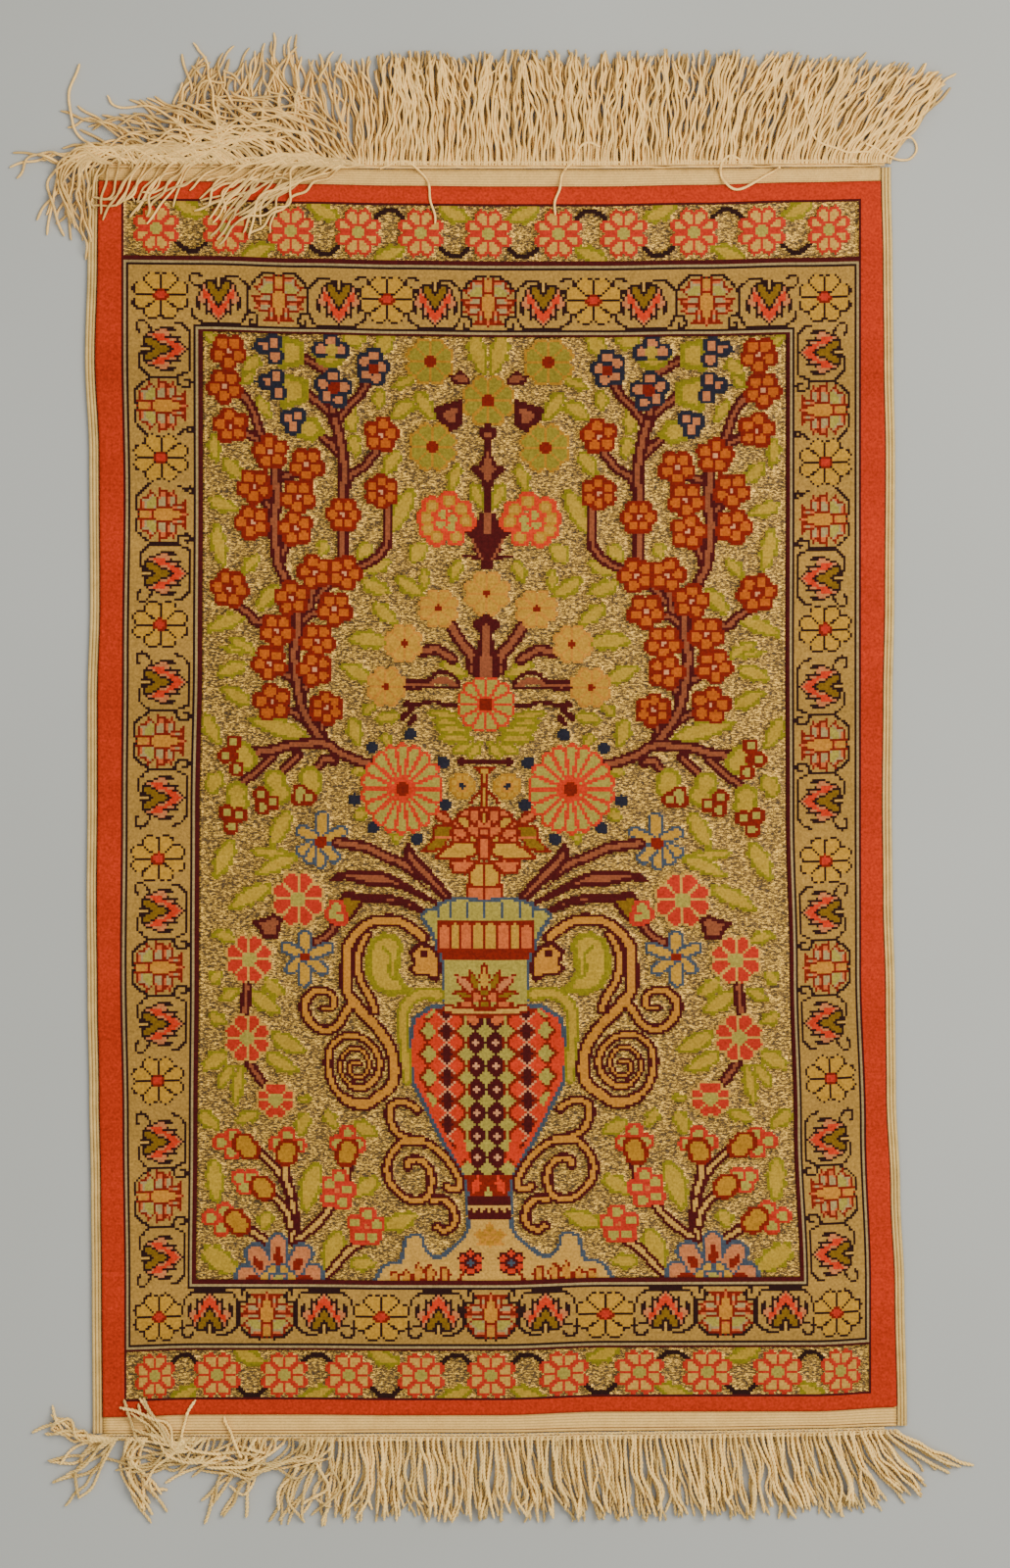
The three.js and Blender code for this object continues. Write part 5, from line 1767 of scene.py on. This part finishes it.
TOP_COMB = [CombRow(*row) for row in (
    (-79, -2, 33, -12, 60), (-66, 3, 33, 0, 62), (0, 0, 33, -2, 63), (80, 1, 33, 2, 63),
    (161, 8, 33, 18, 62), (190, 12, 32, 29, 61), (212, 16, 29, 37, 56),
    (228, 17, 24, 36, 50), (235, 16, 20, 31, 43),
)]
BOTTOM_COMB = [CombRow(*row) for row in (
    (-90, 0, 22, -4, 48), (-59, 2, 23, 2, 46), (57, 1, 22, 5, 47), (144, 4, 21, 10, 47),
    (202, 5, 20, 14, 46), (225, 9, 17, 27, 36), (239, 14, 9, 38, 21),
)]
TOP_STANDING = [Swath(*row) for row in (
    (76, ((-189, 0), (-190, 20), (-186, 42), (-179, 59)), ((-84, 0), (-85, 20), (-86, 42), (-90, 63))),
    (44, ((-205, 0), (-216, 12), (-234, 21), (-254, 25)), ((-76, 0), (-84, 20), (-102, 35), (-130, 43))),
)]
TOP_SWEPT = [Swath(*row) for row in (
    (40, ((-228, 0), (-242, 5), (-262, 7), (-282, 2)), ((-80, 0), (-102, 17), (-130, 22), (-156, 12))),
    (28, ((-222, 0), (-232, 9), (-248, 7), (-262, -8), (-270, -28)),
     ((-134, 0), (-146, 7), (-164, 2), (-180, -12), (-192, -27))),
    (30, ((-106, 0), (-120, 6), (-140, 4), (-162, -7), (-182, -20)),
     ((-74, 0), (-84, 1), (-102, -9), (-121, -23), (-138, -41))),
    (14, ((-230, 0), (-243, 6), (-256, -8), (-252, -38)), ((-224, 0), (-237, 4), (-244, -14), (-236, -41))),
)]
BOTTOM_SWEPT = [Swath(*row) for row in (
    (12, ((-216, 0), (-219, 12), (-217, 26), (-214, 45)), ((-203, 0), (-209, 12), (-204, 24), (-193, 36))),
    (8, ((-150, 0), (-152, 14), (-160, 28), (-176, 41)), ((-133, 0), (-136, 16), (-142, 30), (-151, 48))),
    (16, ((-114, 0), (-116, 14), (-123, 30), (-133, 47)), ((-92, 0), (-93, 16), (-96, 32), (-100, 50))),
    (34, ((-190, 0), (-196, 8), (-206, 15), (-222, 19)), ((-91, 0), (-95, 11), (-112, 17), (-137, 20))),
    (17, ((-228, 0), (-242, -3), (-255, -10), (-267, -20)), ((-221, 0), (-228, 12), (-236, 26), (-243, 42))),
    (12, ((-184, 0), (-192, 6), (-203, -4), (-212, -18)), ((-168, 0), (-176, 8), (-190, 2), (-203, -12))),
)]
TOP_LOOSE = [
    [(-66, 373.5), (-54, 377), (-46, 376), (-38, 364.5), (-35, 352), (-34, 341)],
    [(64, 386), (56, 388.5), (46, 376), (40, 364), (37, 346)],
    [(170, 374), (156, 366), (144, 361), (136.5, 367), (136, 376), (141, 381), (147, 379)],
    [(221, 388), (234, 382), (246, 378), (251, 384), (247, 391), (234, 390)],
    [(224, 383), (207, 384), (193, 390), (186, 405), (187, 427)],
    [(-215, 378), (-235, 386), (-247, 398), (-250, 418), (-244, 436)],
    [(-172, 378), (-182, 396), (-198, 409), (-222, 411), (-228, 417)],
    [(-160, 380), (-164, 411), (-169, 437), (-174, 445), (-177, 448)],
]
BOTTOM_LOOSE = [
    [(-160, -386), (-176, -384), (-183, -376), (-181, -365), (-175, -354)],
    [(-148, -388), (-152, -379), (-157, -368), (-158, -364)],
]


@dataclass
class LieOfTheLand:
    """How high the rug and the cords laid so far stand, in a fine grid, so that each cord lies on them."""

    left: float = -300.0
    bottom: float = -440.0
    cell: float = 0.5
    width: int = 1200
    height: int = 1800
    highest: float = 9.5
    pressed: float = 2.0
    lift: float = 1.15
    edging_width: float = 6.1
    edging_top: float = 3.3
    twine_width: float = 2.6
    give: float = 0.25
    rounding: float = 0.85
    bedding: float = 0.55
    easings: int = 6

    def __post_init__(self) -> None:
        """Fills the land with the heights of the cloth and its edgings."""
        self.level = np.zeros((self.height, self.width))
        x = self.left + self.cell * (np.arange(self.width) + 0.5)
        y = self.bottom + self.cell * (np.arange(self.height) + 0.5)
        gx, gy = np.meshgrid(x, y)
        left = read_table(SIDES, "y", "left", gy)
        right = read_table(SIDES, "y", "right", gy)
        inside = (gx > left - self.edging_width) & (gx < right + self.edging_width)
        top_weave, top_pile, bottom_pile, bottom_weave = (
            read_table(ENDS, "x", name, gx) for name in EndRow._fields[1:])
        twined = (gy < top_weave + self.twine_width) & (gy > bottom_weave - self.twine_width)
        woven = (gy < top_weave) & (gy > bottom_weave)
        cloth = (gx > left) & (gx < right)
        self.level[inside & twined] = FLATWEAVE_TOP + 0.1
        self.level[inside & woven] = self.edging_top
        self.level[cloth & woven] = FLATWEAVE_TOP + 0.05
        self.level[cloth & (gy < top_pile + 1) & (gy > bottom_pile - 1)] = PILE_TOP + 0.3

    def cells(self, points: np.ndarray) -> tuple[np.ndarray, np.ndarray]:
        """The grid's row and column under each point."""
        column = np.clip(((points[:, 0] - self.left) / self.cell).astype(int), 1, self.width - 2)
        row = np.clip(((points[:, 1] - self.bottom) / self.cell).astype(int), 1, self.height - 2)
        return row, column

    def lay(self, points: np.ndarray, radius: float) -> np.ndarray:
        """Lays a cord down on what is there.

        Args:
            points: Its middle line, in X and Y, a point every millimetre or so.
            radius: Its radius.

        Returns:
            The height of its middle line.
        """
        row, column = self.cells(points)
        around = [self.level[row + i, column + j] for i in (-1, 0, 1) for j in (-1, 0, 1)]
        support = np.max(around, axis=0)
        spare = self.highest - 2 * self.pressed
        support = np.where(support > spare, spare + self.give * (support - spare), support)
        reach = self.lift * radius
        support = np.minimum(support, self.highest - reach) + reach
        z = support.copy()
        for _ in range(self.easings):
            eased = z.copy()
            eased[1:-1] = (z[:-2] + 2 * z[1:-1] + z[2:]) / 4
            z = np.maximum(support, eased)
        for i in (-1, 0, 1):
            for j in (-1, 0, 1):
                share = self.rounding if i or j else 1.0
                np.maximum.at(self.level, (row + i, column + j), z + radius * share * self.bedding)
        return z


@dataclass
class CordTree:
    """The node tree that makes cords of plain lines: it smooths them, plies them and gives them girth."""

    name: str
    plies: int
    pitch_mm: float
    step_mm: float
    sides: int
    material: bpy.types.Material
    ply_girth: float = 0.58

    def build(self) -> bpy.types.NodeTree:
        """Builds the tree, with named inputs for its sizes.

        Returns:
            The node group.
        """
        tree = bpy.data.node_groups.new(self.name, "GeometryNodeTree")
        tree.interface.new_socket("Geometry", in_out="INPUT", socket_type="NodeSocketGeometry")
        for name, kind in (("Plies", "NodeSocketInt"), ("Pitch", "NodeSocketFloat"),
                           ("Step", "NodeSocketFloat"), ("Sides", "NodeSocketInt"),
                           ("Finish", "NodeSocketMaterial")):
            tree.interface.new_socket(name, in_out="INPUT", socket_type=kind)
        tree.interface.new_socket("Geometry", in_out="OUTPUT", socket_type="NodeSocketGeometry")
        given = add_node(tree, "NodeGroupInput").outputs
        lines = add_node(tree, "GeometryNodeMeshToCurve", {"Mesh": given["Geometry"]})
        curved = add_node(tree, "GeometryNodeCurveSplineType", {"Curve": lines.outputs["Curve"]},
                          spline_type="CATMULL_ROM")
        even = add_node(tree, "GeometryNodeResampleCurve",
                        {"Curve": curved.outputs["Curve"], "Length": given["Step"]}, mode="LENGTH")
        plied = add_node(tree, "GeometryNodeDuplicateElements", {"Geometry": even.outputs["Curve"],
                                                                 "Amount": given["Plies"]}, domain="SPLINE")
        several = add_node(tree, "FunctionNodeCompare", {2: given["Plies"], 3: 1}, data_type="INT",
                           operation="GREATER_THAN")
        found: dict[str | float, Any] = {
            "length": add_node(tree, "GeometryNodeSplineParameter").outputs["Length"],
            "pitch": given["Pitch"], "ply": plied.outputs["Duplicate Index"], "plies": given["Plies"],
            "twisted": several.outputs[0]}
        for name in ("girth", "start"):
            read = add_node(tree, "GeometryNodeInputNamedAttribute", {"Name": name}, data_type="FLOAT")
            found[name] = read.outputs["Attribute"]
        for name, operation, *inputs in (
            ("turns", "DIVIDE", "length", "pitch"), ("share", "DIVIDE", "ply", "plies"),
            ("turned", "ADD", "turns", "share"), ("begun", "ADD", "turned", "start"),
            ("angle", "MULTIPLY", "begun", math.tau), ("cosine", "COSINE", "angle"),
            ("sine", "SINE", "angle"), ("reach", "MULTIPLY", "girth", "twisted"),
            ("half", "MULTIPLY", "reach", 0.5), ("slimmer", "MULTIPLY", "twisted", self.ply_girth - 1),
            ("thick", "ADD", "slimmer", 1.0), ("radius", "MULTIPLY", "girth", "thick"),
        ):
            values = {i: found.get(value, value) for i, value in enumerate(inputs)}
            found[name] = add_node(tree, "ShaderNodeMath", values, operation=operation).outputs[0]
        tangent = add_node(tree, "GeometryNodeInputTangent").outputs["Tangent"]
        beside = add_node(tree, "ShaderNodeVectorMath", {0: tangent, 1: (0, 0, 1)},
                          operation="CROSS_PRODUCT")
        across, upwards = (
            add_node(tree, "ShaderNodeVectorMath", {0: way, "Scale": found[name]}, operation="SCALE")
            for way, name in ((beside.outputs[0], "sine"), ((0, 0, 1), "cosine")))
        away = add_node(tree, "ShaderNodeVectorMath", {0: across.outputs[0], 1: upwards.outputs[0]},
                        operation="ADD")
        offset = add_node(tree, "ShaderNodeVectorMath", {0: away.outputs[0], "Scale": found["half"]},
                          operation="SCALE")
        twisted = add_node(tree, "GeometryNodeSetPosition", {"Geometry": plied.outputs["Geometry"],
                                                             "Offset": offset.outputs[0]})
        ring = add_node(tree, "GeometryNodeCurvePrimitiveCircle",
                        {"Resolution": given["Sides"], "Radius": 1.0}, mode="RADIUS")
        body = add_node(tree, "GeometryNodeCurveToMesh", {
            "Curve": twisted.outputs["Geometry"], "Profile Curve": ring.outputs["Curve"],
            "Scale": found["radius"], "Fill Caps": True})
        smooth = add_node(tree, "GeometryNodeSetShadeSmooth", {"Geometry": body.outputs["Mesh"]})
        real = add_node(tree, "GeometryNodeRealizeInstances", {"Geometry": smooth.outputs["Geometry"]})
        dressed = add_node(tree, "GeometryNodeSetMaterial", {"Geometry": real.outputs["Geometry"],
                                                             "Material": given["Finish"]})
        add_node(tree, "NodeGroupOutput", {"Geometry": dressed.outputs["Geometry"]})
        return tree

    def run(self, piece: str, lines: Sequence[np.ndarray], girths: Sequence[np.ndarray],
            tints: Sequence[float]) -> bpy.types.Object:
        """Makes a plain mesh of cords from their middle lines.

        Args:
            piece: The piece's name.
            lines: A middle line for each cord, in millimetres.
            girths: Its radius at each point, in millimetres.
            tints: How light each cord is beside its neighbours.

        Returns:
            The piece.
        """
        points = np.concatenate(lines) * MM
        totals = [len(line) for line in lines]
        firsts = np.concatenate([[0], np.cumsum(totals)[:-1]])
        edges = np.concatenate([np.stack([f + np.arange(n - 1), f + np.arange(1, n)], axis=1)
                                for f, n in zip(firsts, totals)])
        mesh = bpy.data.meshes.new(piece + "_lines")
        mesh.vertices.add(len(points))
        mesh.vertices.foreach_set("co", points.astype(np.float32).ravel())
        mesh.edges.add(len(edges))
        mesh.edges.foreach_set("vertices", edges.astype(np.int32).ravel())
        rng = np.random.default_rng(len(lines))
        columns = {
            "girth": np.concatenate(girths) * MM,
            "start": np.repeat(rng.uniform(0, 1, len(lines)), totals),
            "tint": np.repeat(np.asarray(tints, float), totals),
        }
        for name, values in columns.items():
            mesh.attributes.new(name, "FLOAT", "POINT").data.foreach_set("value", values.astype(np.float32))
        mesh.update()
        host = bpy.data.objects.new(piece + "_lines", mesh)
        bpy.context.scene.collection.objects.link(host)
        modifier = host.modifiers.new("cords", "NODES")
        modifier.node_group = self.build()
        values = {"Plies": self.plies, "Pitch": self.pitch_mm * MM, "Step": self.step_mm * MM,
                  "Sides": self.sides, "Finish": self.material}
        for item in modifier.node_group.interface.items_tree:
            if item.in_out == "INPUT" and item.name in values:
                modifier[item.identifier] = values[item.name]
        evaluated = host.evaluated_get(bpy.context.evaluated_depsgraph_get())
        made = bpy.data.objects.new(piece, bpy.data.meshes.new_from_object(evaluated))
        bpy.data.objects.remove(host)
        bpy.context.scene.collection.objects.link(made)
        self.finish_mesh(made)
        return made

    @staticmethod
    def finish_mesh(made: bpy.types.Object) -> None:
        """Gives the mesh its colours from the cords' tints, which carry painted shade on the layers beneath,
        and its flat map.

        Args:
            made: The object that carries the mesh.
        """
        mesh = made.data
        tint = np.ones(len(mesh.vertices), np.float32)
        mesh.attributes["tint"].data.foreach_get("value", tint)
        corners = np.zeros(len(mesh.loops), np.int32)
        mesh.loops.foreach_get("vertex_index", corners)
        places = np.zeros(len(mesh.vertices) * 3, np.float32)
        mesh.vertices.foreach_get("co", places)
        places = places.reshape(-1, 3)
        colour = np.ones((len(corners), 4), np.float32)
        colour[:, :3] = tint[corners, None]
        mesh.color_attributes.new(name="dye", type="FLOAT_COLOR", domain="CORNER").data.foreach_set(
            "color", colour.ravel())
        low, high = places.min(axis=0)[:2], places.max(axis=0)[:2]
        flat = (places[corners, :2] - low) / (high - low)
        mesh.uv_layers.new(name="OFBake").data.foreach_set("uv", flat.astype(np.float32).ravel())


@dataclass
class Fringe:
    """One layer of one end's fringe: its cords, combed and swept as on the rug."""

    name: str
    weave_edge: str
    outward: int
    comb: list[CombRow]
    count: int
    swept: list[Swath]
    radius: float
    tree: CordTree
    land: LieOfTheLand
    seed: int
    wander: float = 1.5
    sway: float = 0.9
    sway_mm: tuple[float, float] = (14.0, 27.0)
    lock_lean: float = 3.4
    tuft_mm: float = 9.0
    tuft_pull: float = 0.0
    tip_spread: float = 4.0
    swath_spread: float = 4.2
    strip_offset: float = 1.7
    # Each cord's tint is drawn at random from lightness; the layers beneath are given darker ranges, as
    # painted shade under the cords on top.
    lightness: tuple[float, float] = (0.85, 1.12)
    swept_lightness: tuple[float, float] = (0.6, 1.1)
    twine_rows: tuple[float, ...] = (-1.1, 0.3, 1.7)
    twine_radius: float = 0.85
    twine_lightness: float = 0.9
    twine_points: int = 160
    lines: list[np.ndarray] = field(default_factory=list)
    girths: list[np.ndarray] = field(default_factory=list)
    tints: list[float] = field(default_factory=list)

    def __post_init__(self) -> None:
        """Starts the piece's own chance."""
        self.rng = np.random.default_rng(self.seed)

    def strip_point(self, x: np.ndarray | float) -> np.ndarray:
        """The middle of the twined row at a place across the rug."""
        edge = read_table(ENDS, "x", self.weave_edge, np.asarray(x, float))
        return edge + self.outward * self.strip_offset

    def lay(self, points: Sequence[Place], radius: float | None = None, tint: float | None = None,
            sway: float | None = None) -> None:
        """Lays one cord along a smooth, slightly wavy line through its points.

        Args:
            points: The places that it passes.
            radius: Its radius, or the fringe's own give or take a little.
            tint: How light it is, or a random tint.
            sway: How far its waves reach to each side, or the fringe's own.
        """
        radius = radius or self.radius * self.rng.uniform(0.88, 1.1)
        line = smooth_points(points, 1.0)
        run = np.arange(len(line))
        way = np.gradient(line, axis=0)
        way /= np.maximum(np.linalg.norm(way, axis=1), 1e-6)[:, None]
        reach = (self.sway if sway is None else sway) * self.rng.uniform(0.4, 1.3) * np.minimum(1, run / 14)
        wave = reach * np.sin(2 * np.pi * run / self.rng.uniform(*self.sway_mm) + self.rng.uniform(0, 6.3))
        line = line + np.column_stack([-way[:, 1], way[:, 0]]) * wave[:, None]
        z = self.land.lay(line, radius)
        lumps = 1 + 0.06 * np.sin(run * 0.9 + self.rng.uniform(0, 6))
        taper = np.minimum(1, (len(line) - run) / 5 + 0.35)
        self.lines.append(np.column_stack([line, z]))
        self.girths.append(radius * lumps * taper)
        self.tints.append(tint or float(self.rng.uniform(*self.lightness)))

    def comb_cords(self) -> None:
        """Lays the combed cords, in an uneven order so that neighbours cross over and under."""
        first, last = self.comb[0].root, self.comb[-1].root
        roots = np.linspace(first, last, self.count) + self.rng.uniform(-0.6, 0.6, self.count)
        for i in self.rng.permutation(self.count):
            root = float(roots[i])
            mid_x, mid_out, tip_x, tip_out = (float(read_table(self.comb, "root", column, np.array(root)))
                                              for column in ("mid_x", "mid_out", "tip_x", "tip_out"))
            tuft = (math.floor(root / self.tuft_mm + 0.3 * math.sin(root / 31)) + 0.5) * self.tuft_mm - root
            mid_x += 0.5 * self.lock_lean * math.sin(root / 7.3 + self.seed) + 0.4 * self.tuft_pull * tuft
            tip_x += (self.lock_lean * math.sin(root / 11.7 + 2 * self.seed)
                      + 0.6 * self.lock_lean * math.sin(root / 4.1 + self.seed) + self.tuft_pull * tuft)
            reach = max(abs(tip_x) + abs(tip_out), 1.0)
            stretch = min(1 + self.tip_spread * float(self.rng.normal()) / reach, 1.1)
            wave = self.rng.normal(0, self.wander, 3)
            places = [(0, 0), (mid_x * 0.12 + 0.25 * wave[0], max(mid_out * 0.25, 0.5)),
                      (mid_x + 0.6 * wave[1], mid_out),
                      ((mid_x + tip_x) / 2 + wave[2], (mid_out + tip_out) / 2),
                      (tip_x * stretch + 1.3 * wave[0], tip_out * stretch)]
            y = float(self.strip_point(root))
            self.lay([(root + across, y + self.outward * out) for across, out in places])

    def sweep(self, swath: Swath) -> None:
        """Lays a swath's cords between its first and its last route, each a little off them.

        Args:
            swath: The swath.
        """
        first, last = np.array(swath.first, float), np.array(swath.last, float)
        shares = (np.arange(swath.count) + 0.5) / swath.count + self.rng.uniform(-0.02, 0.02, swath.count)
        loose = self.wander * np.linspace(0, self.swath_spread, len(first))[:, None]
        for share in self.rng.permutation(shares):
            places = first + (last - first) * share + self.rng.normal(0, 1, first.shape) * loose
            y = float(self.strip_point(places[0, 0]))
            tint = float(self.rng.uniform(*self.swept_lightness))
            self.lay([(x, y + self.outward * out) for x, out in places], tint=tint)

    def twine(self) -> None:
        """Lays the twined row that holds the cords' roots."""
        x = np.linspace(ROUGH_HALF_WIDTH, -ROUGH_HALF_WIDTH, self.twine_points)
        for shift in self.twine_rows:
            line = np.column_stack([x, self.strip_point(x) + self.outward * shift])
            self.lay([tuple(p) for p in line], self.twine_radius, self.twine_lightness, sway=0.0)

    def build(self, extras: Iterable[Sequence[Place]] = (), twined: bool = False) -> bpy.types.Object:
        """Lays everything and builds the piece.

        Args:
            extras: The routes of single loose cords.
            twined: Whether this layer has the twined row.

        Returns:
            The piece.
        """
        self.comb_cords()
        if twined:
            self.twine()
        for swath in self.swept:
            self.sweep(swath)
        for points in extras:
            self.lay(points, tint=self.lightness[1])
        return self.tree.run(self.name, self.lines, self.girths, self.tints)


@dataclass
class SideEdging:
    """The side cords, overcast together with cream silk along one long side."""

    side: str
    material: bpy.types.Material
    gap: float = 0.35
    width: float = 5.8
    cords: int = 3
    radius: float = 1.05
    wrap_pitch: float = 1.3
    wrap_depth: float = 0.09
    end_x: float = 240.0
    end_gap: float = 0.4
    outer_height: float = 0.8
    middle_height: float = 0.95

    def build(self) -> bpy.types.Object:
        """Builds the three ribs, each wrapped over and over.

        Returns:
            The piece.
        """
        sign = -1 if self.side == "left" else 1
        end_x = np.array(sign * self.end_x)
        top = float(read_table(ENDS, "x", "top_weave", end_x))
        bottom = float(read_table(ENDS, "x", "bottom_weave", end_x))
        steps = int((top - bottom) / (self.wrap_pitch / 2))
        y = np.linspace(bottom + self.end_gap, top - self.end_gap, steps)
        edge = read_table(SIDES, "y", self.side, y)
        lines, girths = [], []
        wraps = 1 - self.wrap_depth * (np.arange(steps) % 2)
        for i in range(self.cords):
            across = (i - (self.cords - 1) / 2) * self.width / self.cords
            x = edge + sign * (self.gap + self.width / 2) + across
            height = self.radius + (self.middle_height if i == 1 else self.outer_height)
            lines.append(np.column_stack([x, y, np.full(steps, height)]))
            girths.append(wraps * self.radius)
        tree = CordTree("edging_" + self.side + "_cords", 1, 1.0, self.wrap_pitch / 2, 4, self.material)
        return tree.run("edging_" + self.side + "_overcast", lines, girths, [1.0] * self.cords)


@dataclass(frozen=True)
class Studio:
    """The floor, the lights and the camera, straight above as in the photo."""

    camera_height: float = 3.0
    sensor: float = 36.0
    floor_size: float = 4.0
    floor_level: float = -0.0004
    room_colour: str = "#E9E6E0"
    room_light: float = 0.76

    def build(self) -> None:
        """Sets the scene around the rug."""
        self.floor()
        self.light("key", (1.0, 0.45, 1.6), 1.2, 46.0, (1.0, 0.96, 0.9))
        self.light("fill", (-0.4, -0.6, 2.0), 1.6, 13.0, (0.95, 0.97, 1.0))
        world = bpy.data.worlds.new("soft_room")
        world.use_nodes = True
        background = world.node_tree.nodes["Background"]
        background.inputs["Color"].default_value = linear(self.room_colour)
        background.inputs["Strength"].default_value = self.room_light
        bpy.context.scene.world = world
        self.camera()

    def floor(self) -> None:
        """Lays a plain pale floor just under the rug."""
        half = self.floor_size / 2
        mesh = bpy.data.meshes.new("floor")
        corners = [(x * half, y * half, self.floor_level) for x, y in ((-1, -1), (1, -1), (1, 1), (-1, 1))]
        mesh.from_pydata(corners, [], [(0, 1, 2, 3)])
        floor = bpy.data.objects.new("floor", mesh)
        bpy.context.scene.collection.objects.link(floor)
        material, tree, shader = new_material("floor_plain_plaster")
        place = add_node(tree, "ShaderNodeTexCoord").outputs["Object"]
        clouds = add_node(tree, "ShaderNodeTexNoise", {"Vector": place, "Scale": 3.0, "Detail": 3.0})
        tone = add_node(tree, "ShaderNodeMix",
                        {0: clouds.outputs["Fac"], 6: linear("#999B96"), 7: linear("#A8AAA6")},
                        data_type="RGBA")
        tree.links.new(tone.outputs[2], shader.inputs["Base Color"])
        shader.inputs["Roughness"].default_value = 0.8
        mesh.materials.append(material)

    @staticmethod
    def light(name: str, place: tuple[float, float, float], size: float, power: float,
              colour: tuple[float, float, float]) -> None:
        """Adds a soft square light that faces the rug.

        Args:
            name: The lamp's name.
            place: Where it stands, in metres.
            size: The length of its side, in metres.
            power: Its power, in watts.
            colour: Its linear colour.
        """
        data = bpy.data.lights.new(name, "AREA")
        data.size, data.energy, data.color = size, power, colour
        lamp = bpy.data.objects.new(name, data)
        lamp.location = place
        lamp.rotation_euler = (-Vector(place)).to_track_quat("-Z", "Y").to_euler()
        bpy.context.scene.collection.objects.link(lamp)

    def camera(self) -> None:
        """Puts the camera above the middle of the photo's frame."""
        frame_height = FRAME_HEIGHT * MM_PER_PIXEL * MM
        data = bpy.data.cameras.new("camera")
        data.sensor_fit = "VERTICAL"
        data.sensor_height = self.sensor
        data.lens = self.sensor * self.camera_height / frame_height
        data.clip_end = 20
        camera = bpy.data.objects.new("camera", data)
        camera.location = ((FRAME_WIDTH / 2 - ORIGIN_PIXEL_X) * MM_PER_PIXEL * MM,
                           (ORIGIN_PIXEL_Y - FRAME_HEIGHT / 2) * MM_PER_PIXEL * MM, self.camera_height)
        bpy.context.scene.collection.objects.link(camera)
        bpy.context.scene.camera = camera


def main() -> None:
    """Builds the rug and sets the scene."""
    logging.basicConfig(level=logging.INFO, format="%(name)s: %(message)s")
    Studio().build()
    silk = SilkPile().build()
    metal = MetalThread().build()
    flatweave = CordSilk("silk_flatwoven", "#EABE66", "#CC9F4E").build()
    fringe_yarn = CordSilk("fringe_yarn_plied", "#FFD27A", "#DDAE5C").build()
    twisted_yarn = CordSilk("fringe_yarn_twisted", "#FFDC86", "#EEC26C").build()
    overcast = CordSilk("silk_overcast", "#E2BE70", "#AA8B48").build()
    cloth = Cloth(RugDesign().draw())
    first, last = HALF - 1 - FIELD_OUT, HALF + FIELD_OUT
    block = (first, FIELD_FIRST_ROW, last, FIELD_LAST_ROW + 1)
    foundation = cloth.foundation([silk, flatweave])
    field_pile = cloth.pile("pile_field", block, None, [silk, metal])
    border_pile = cloth.pile("pile_border", (0, 0, COLUMNS, ROWS), block, [silk, metal])
    land = LieOfTheLand()
    smooth_cord = CordTree("top_cord", 1, 6.0, 1.8, 5, fringe_yarn)
    hidden_cord = CordTree("top_cord_beneath", 1, 6.0, 3.0, 4, fringe_yarn)
    twisted_cord = CordTree("bottom_cord", 2, 4.8, 1.0, 4, twisted_yarn)
    hidden_twist = CordTree("bottom_cord_beneath", 2, 4.8, 1.2, 3, twisted_yarn)
    # The cords beneath get darker tints: painted shade under the cords laid on top.
    top_beneath = Fringe("fringe_top_beneath", "top_weave", 1, TOP_COMB, 265, TOP_STANDING, 0.78,
                         hidden_cord, land, 3, lightness=(0.5, 0.84))
    top = Fringe("fringe_top_cords", "top_weave", 1, TOP_COMB, 265, TOP_SWEPT, 0.78, smooth_cord, land, 4)
    # The cords beneath get darker tints: painted shade under the cords laid on top.
    bottom_beneath = Fringe("fringe_bottom_beneath", "bottom_weave", -1, BOTTOM_COMB, 196, [], 1.0,
                            hidden_twist, land, 5, sway=0.5, tuft_pull=0.55, lightness=(0.6, 0.92))
    bottom = Fringe("fringe_bottom_cords", "bottom_weave", -1, BOTTOM_COMB, 108, BOTTOM_SWEPT, 1.08,
                    twisted_cord, land, 6, sway=0.5, tuft_pull=0.55)
    fringes = [top_beneath.build(twined=True), top.build(TOP_LOOSE), bottom_beneath.build(twined=True),
               bottom.build(BOTTOM_LOOSE)]
    edgings = {side: SideEdging(side, overcast).build() for side in ("left", "right")}
    pieces = {
        foundation: ("silk_pile", "rug_cloth"), field_pile: ("silk_pile", None),
        border_pile: ("silk_pile", None), fringes[0]: ("fringe_cord", None),
        fringes[1]: ("fringe_cord", "fringe_top"), fringes[2]: ("fringe_cord", None),
        fringes[3]: ("fringe_cord", "fringe_bottom"), edgings["left"]: ("edging_silk", "edging_left"),
        edgings["right"]: ("edging_silk", "edging_right"),
    }
    for piece, (slot, node) in pieces.items():
        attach(piece, BODY)
        if node:
            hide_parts(node)
        LOG.info("%s: %d faces", piece.name, len(piece.data.polygons))


if __name__ == "__main__":
    main()
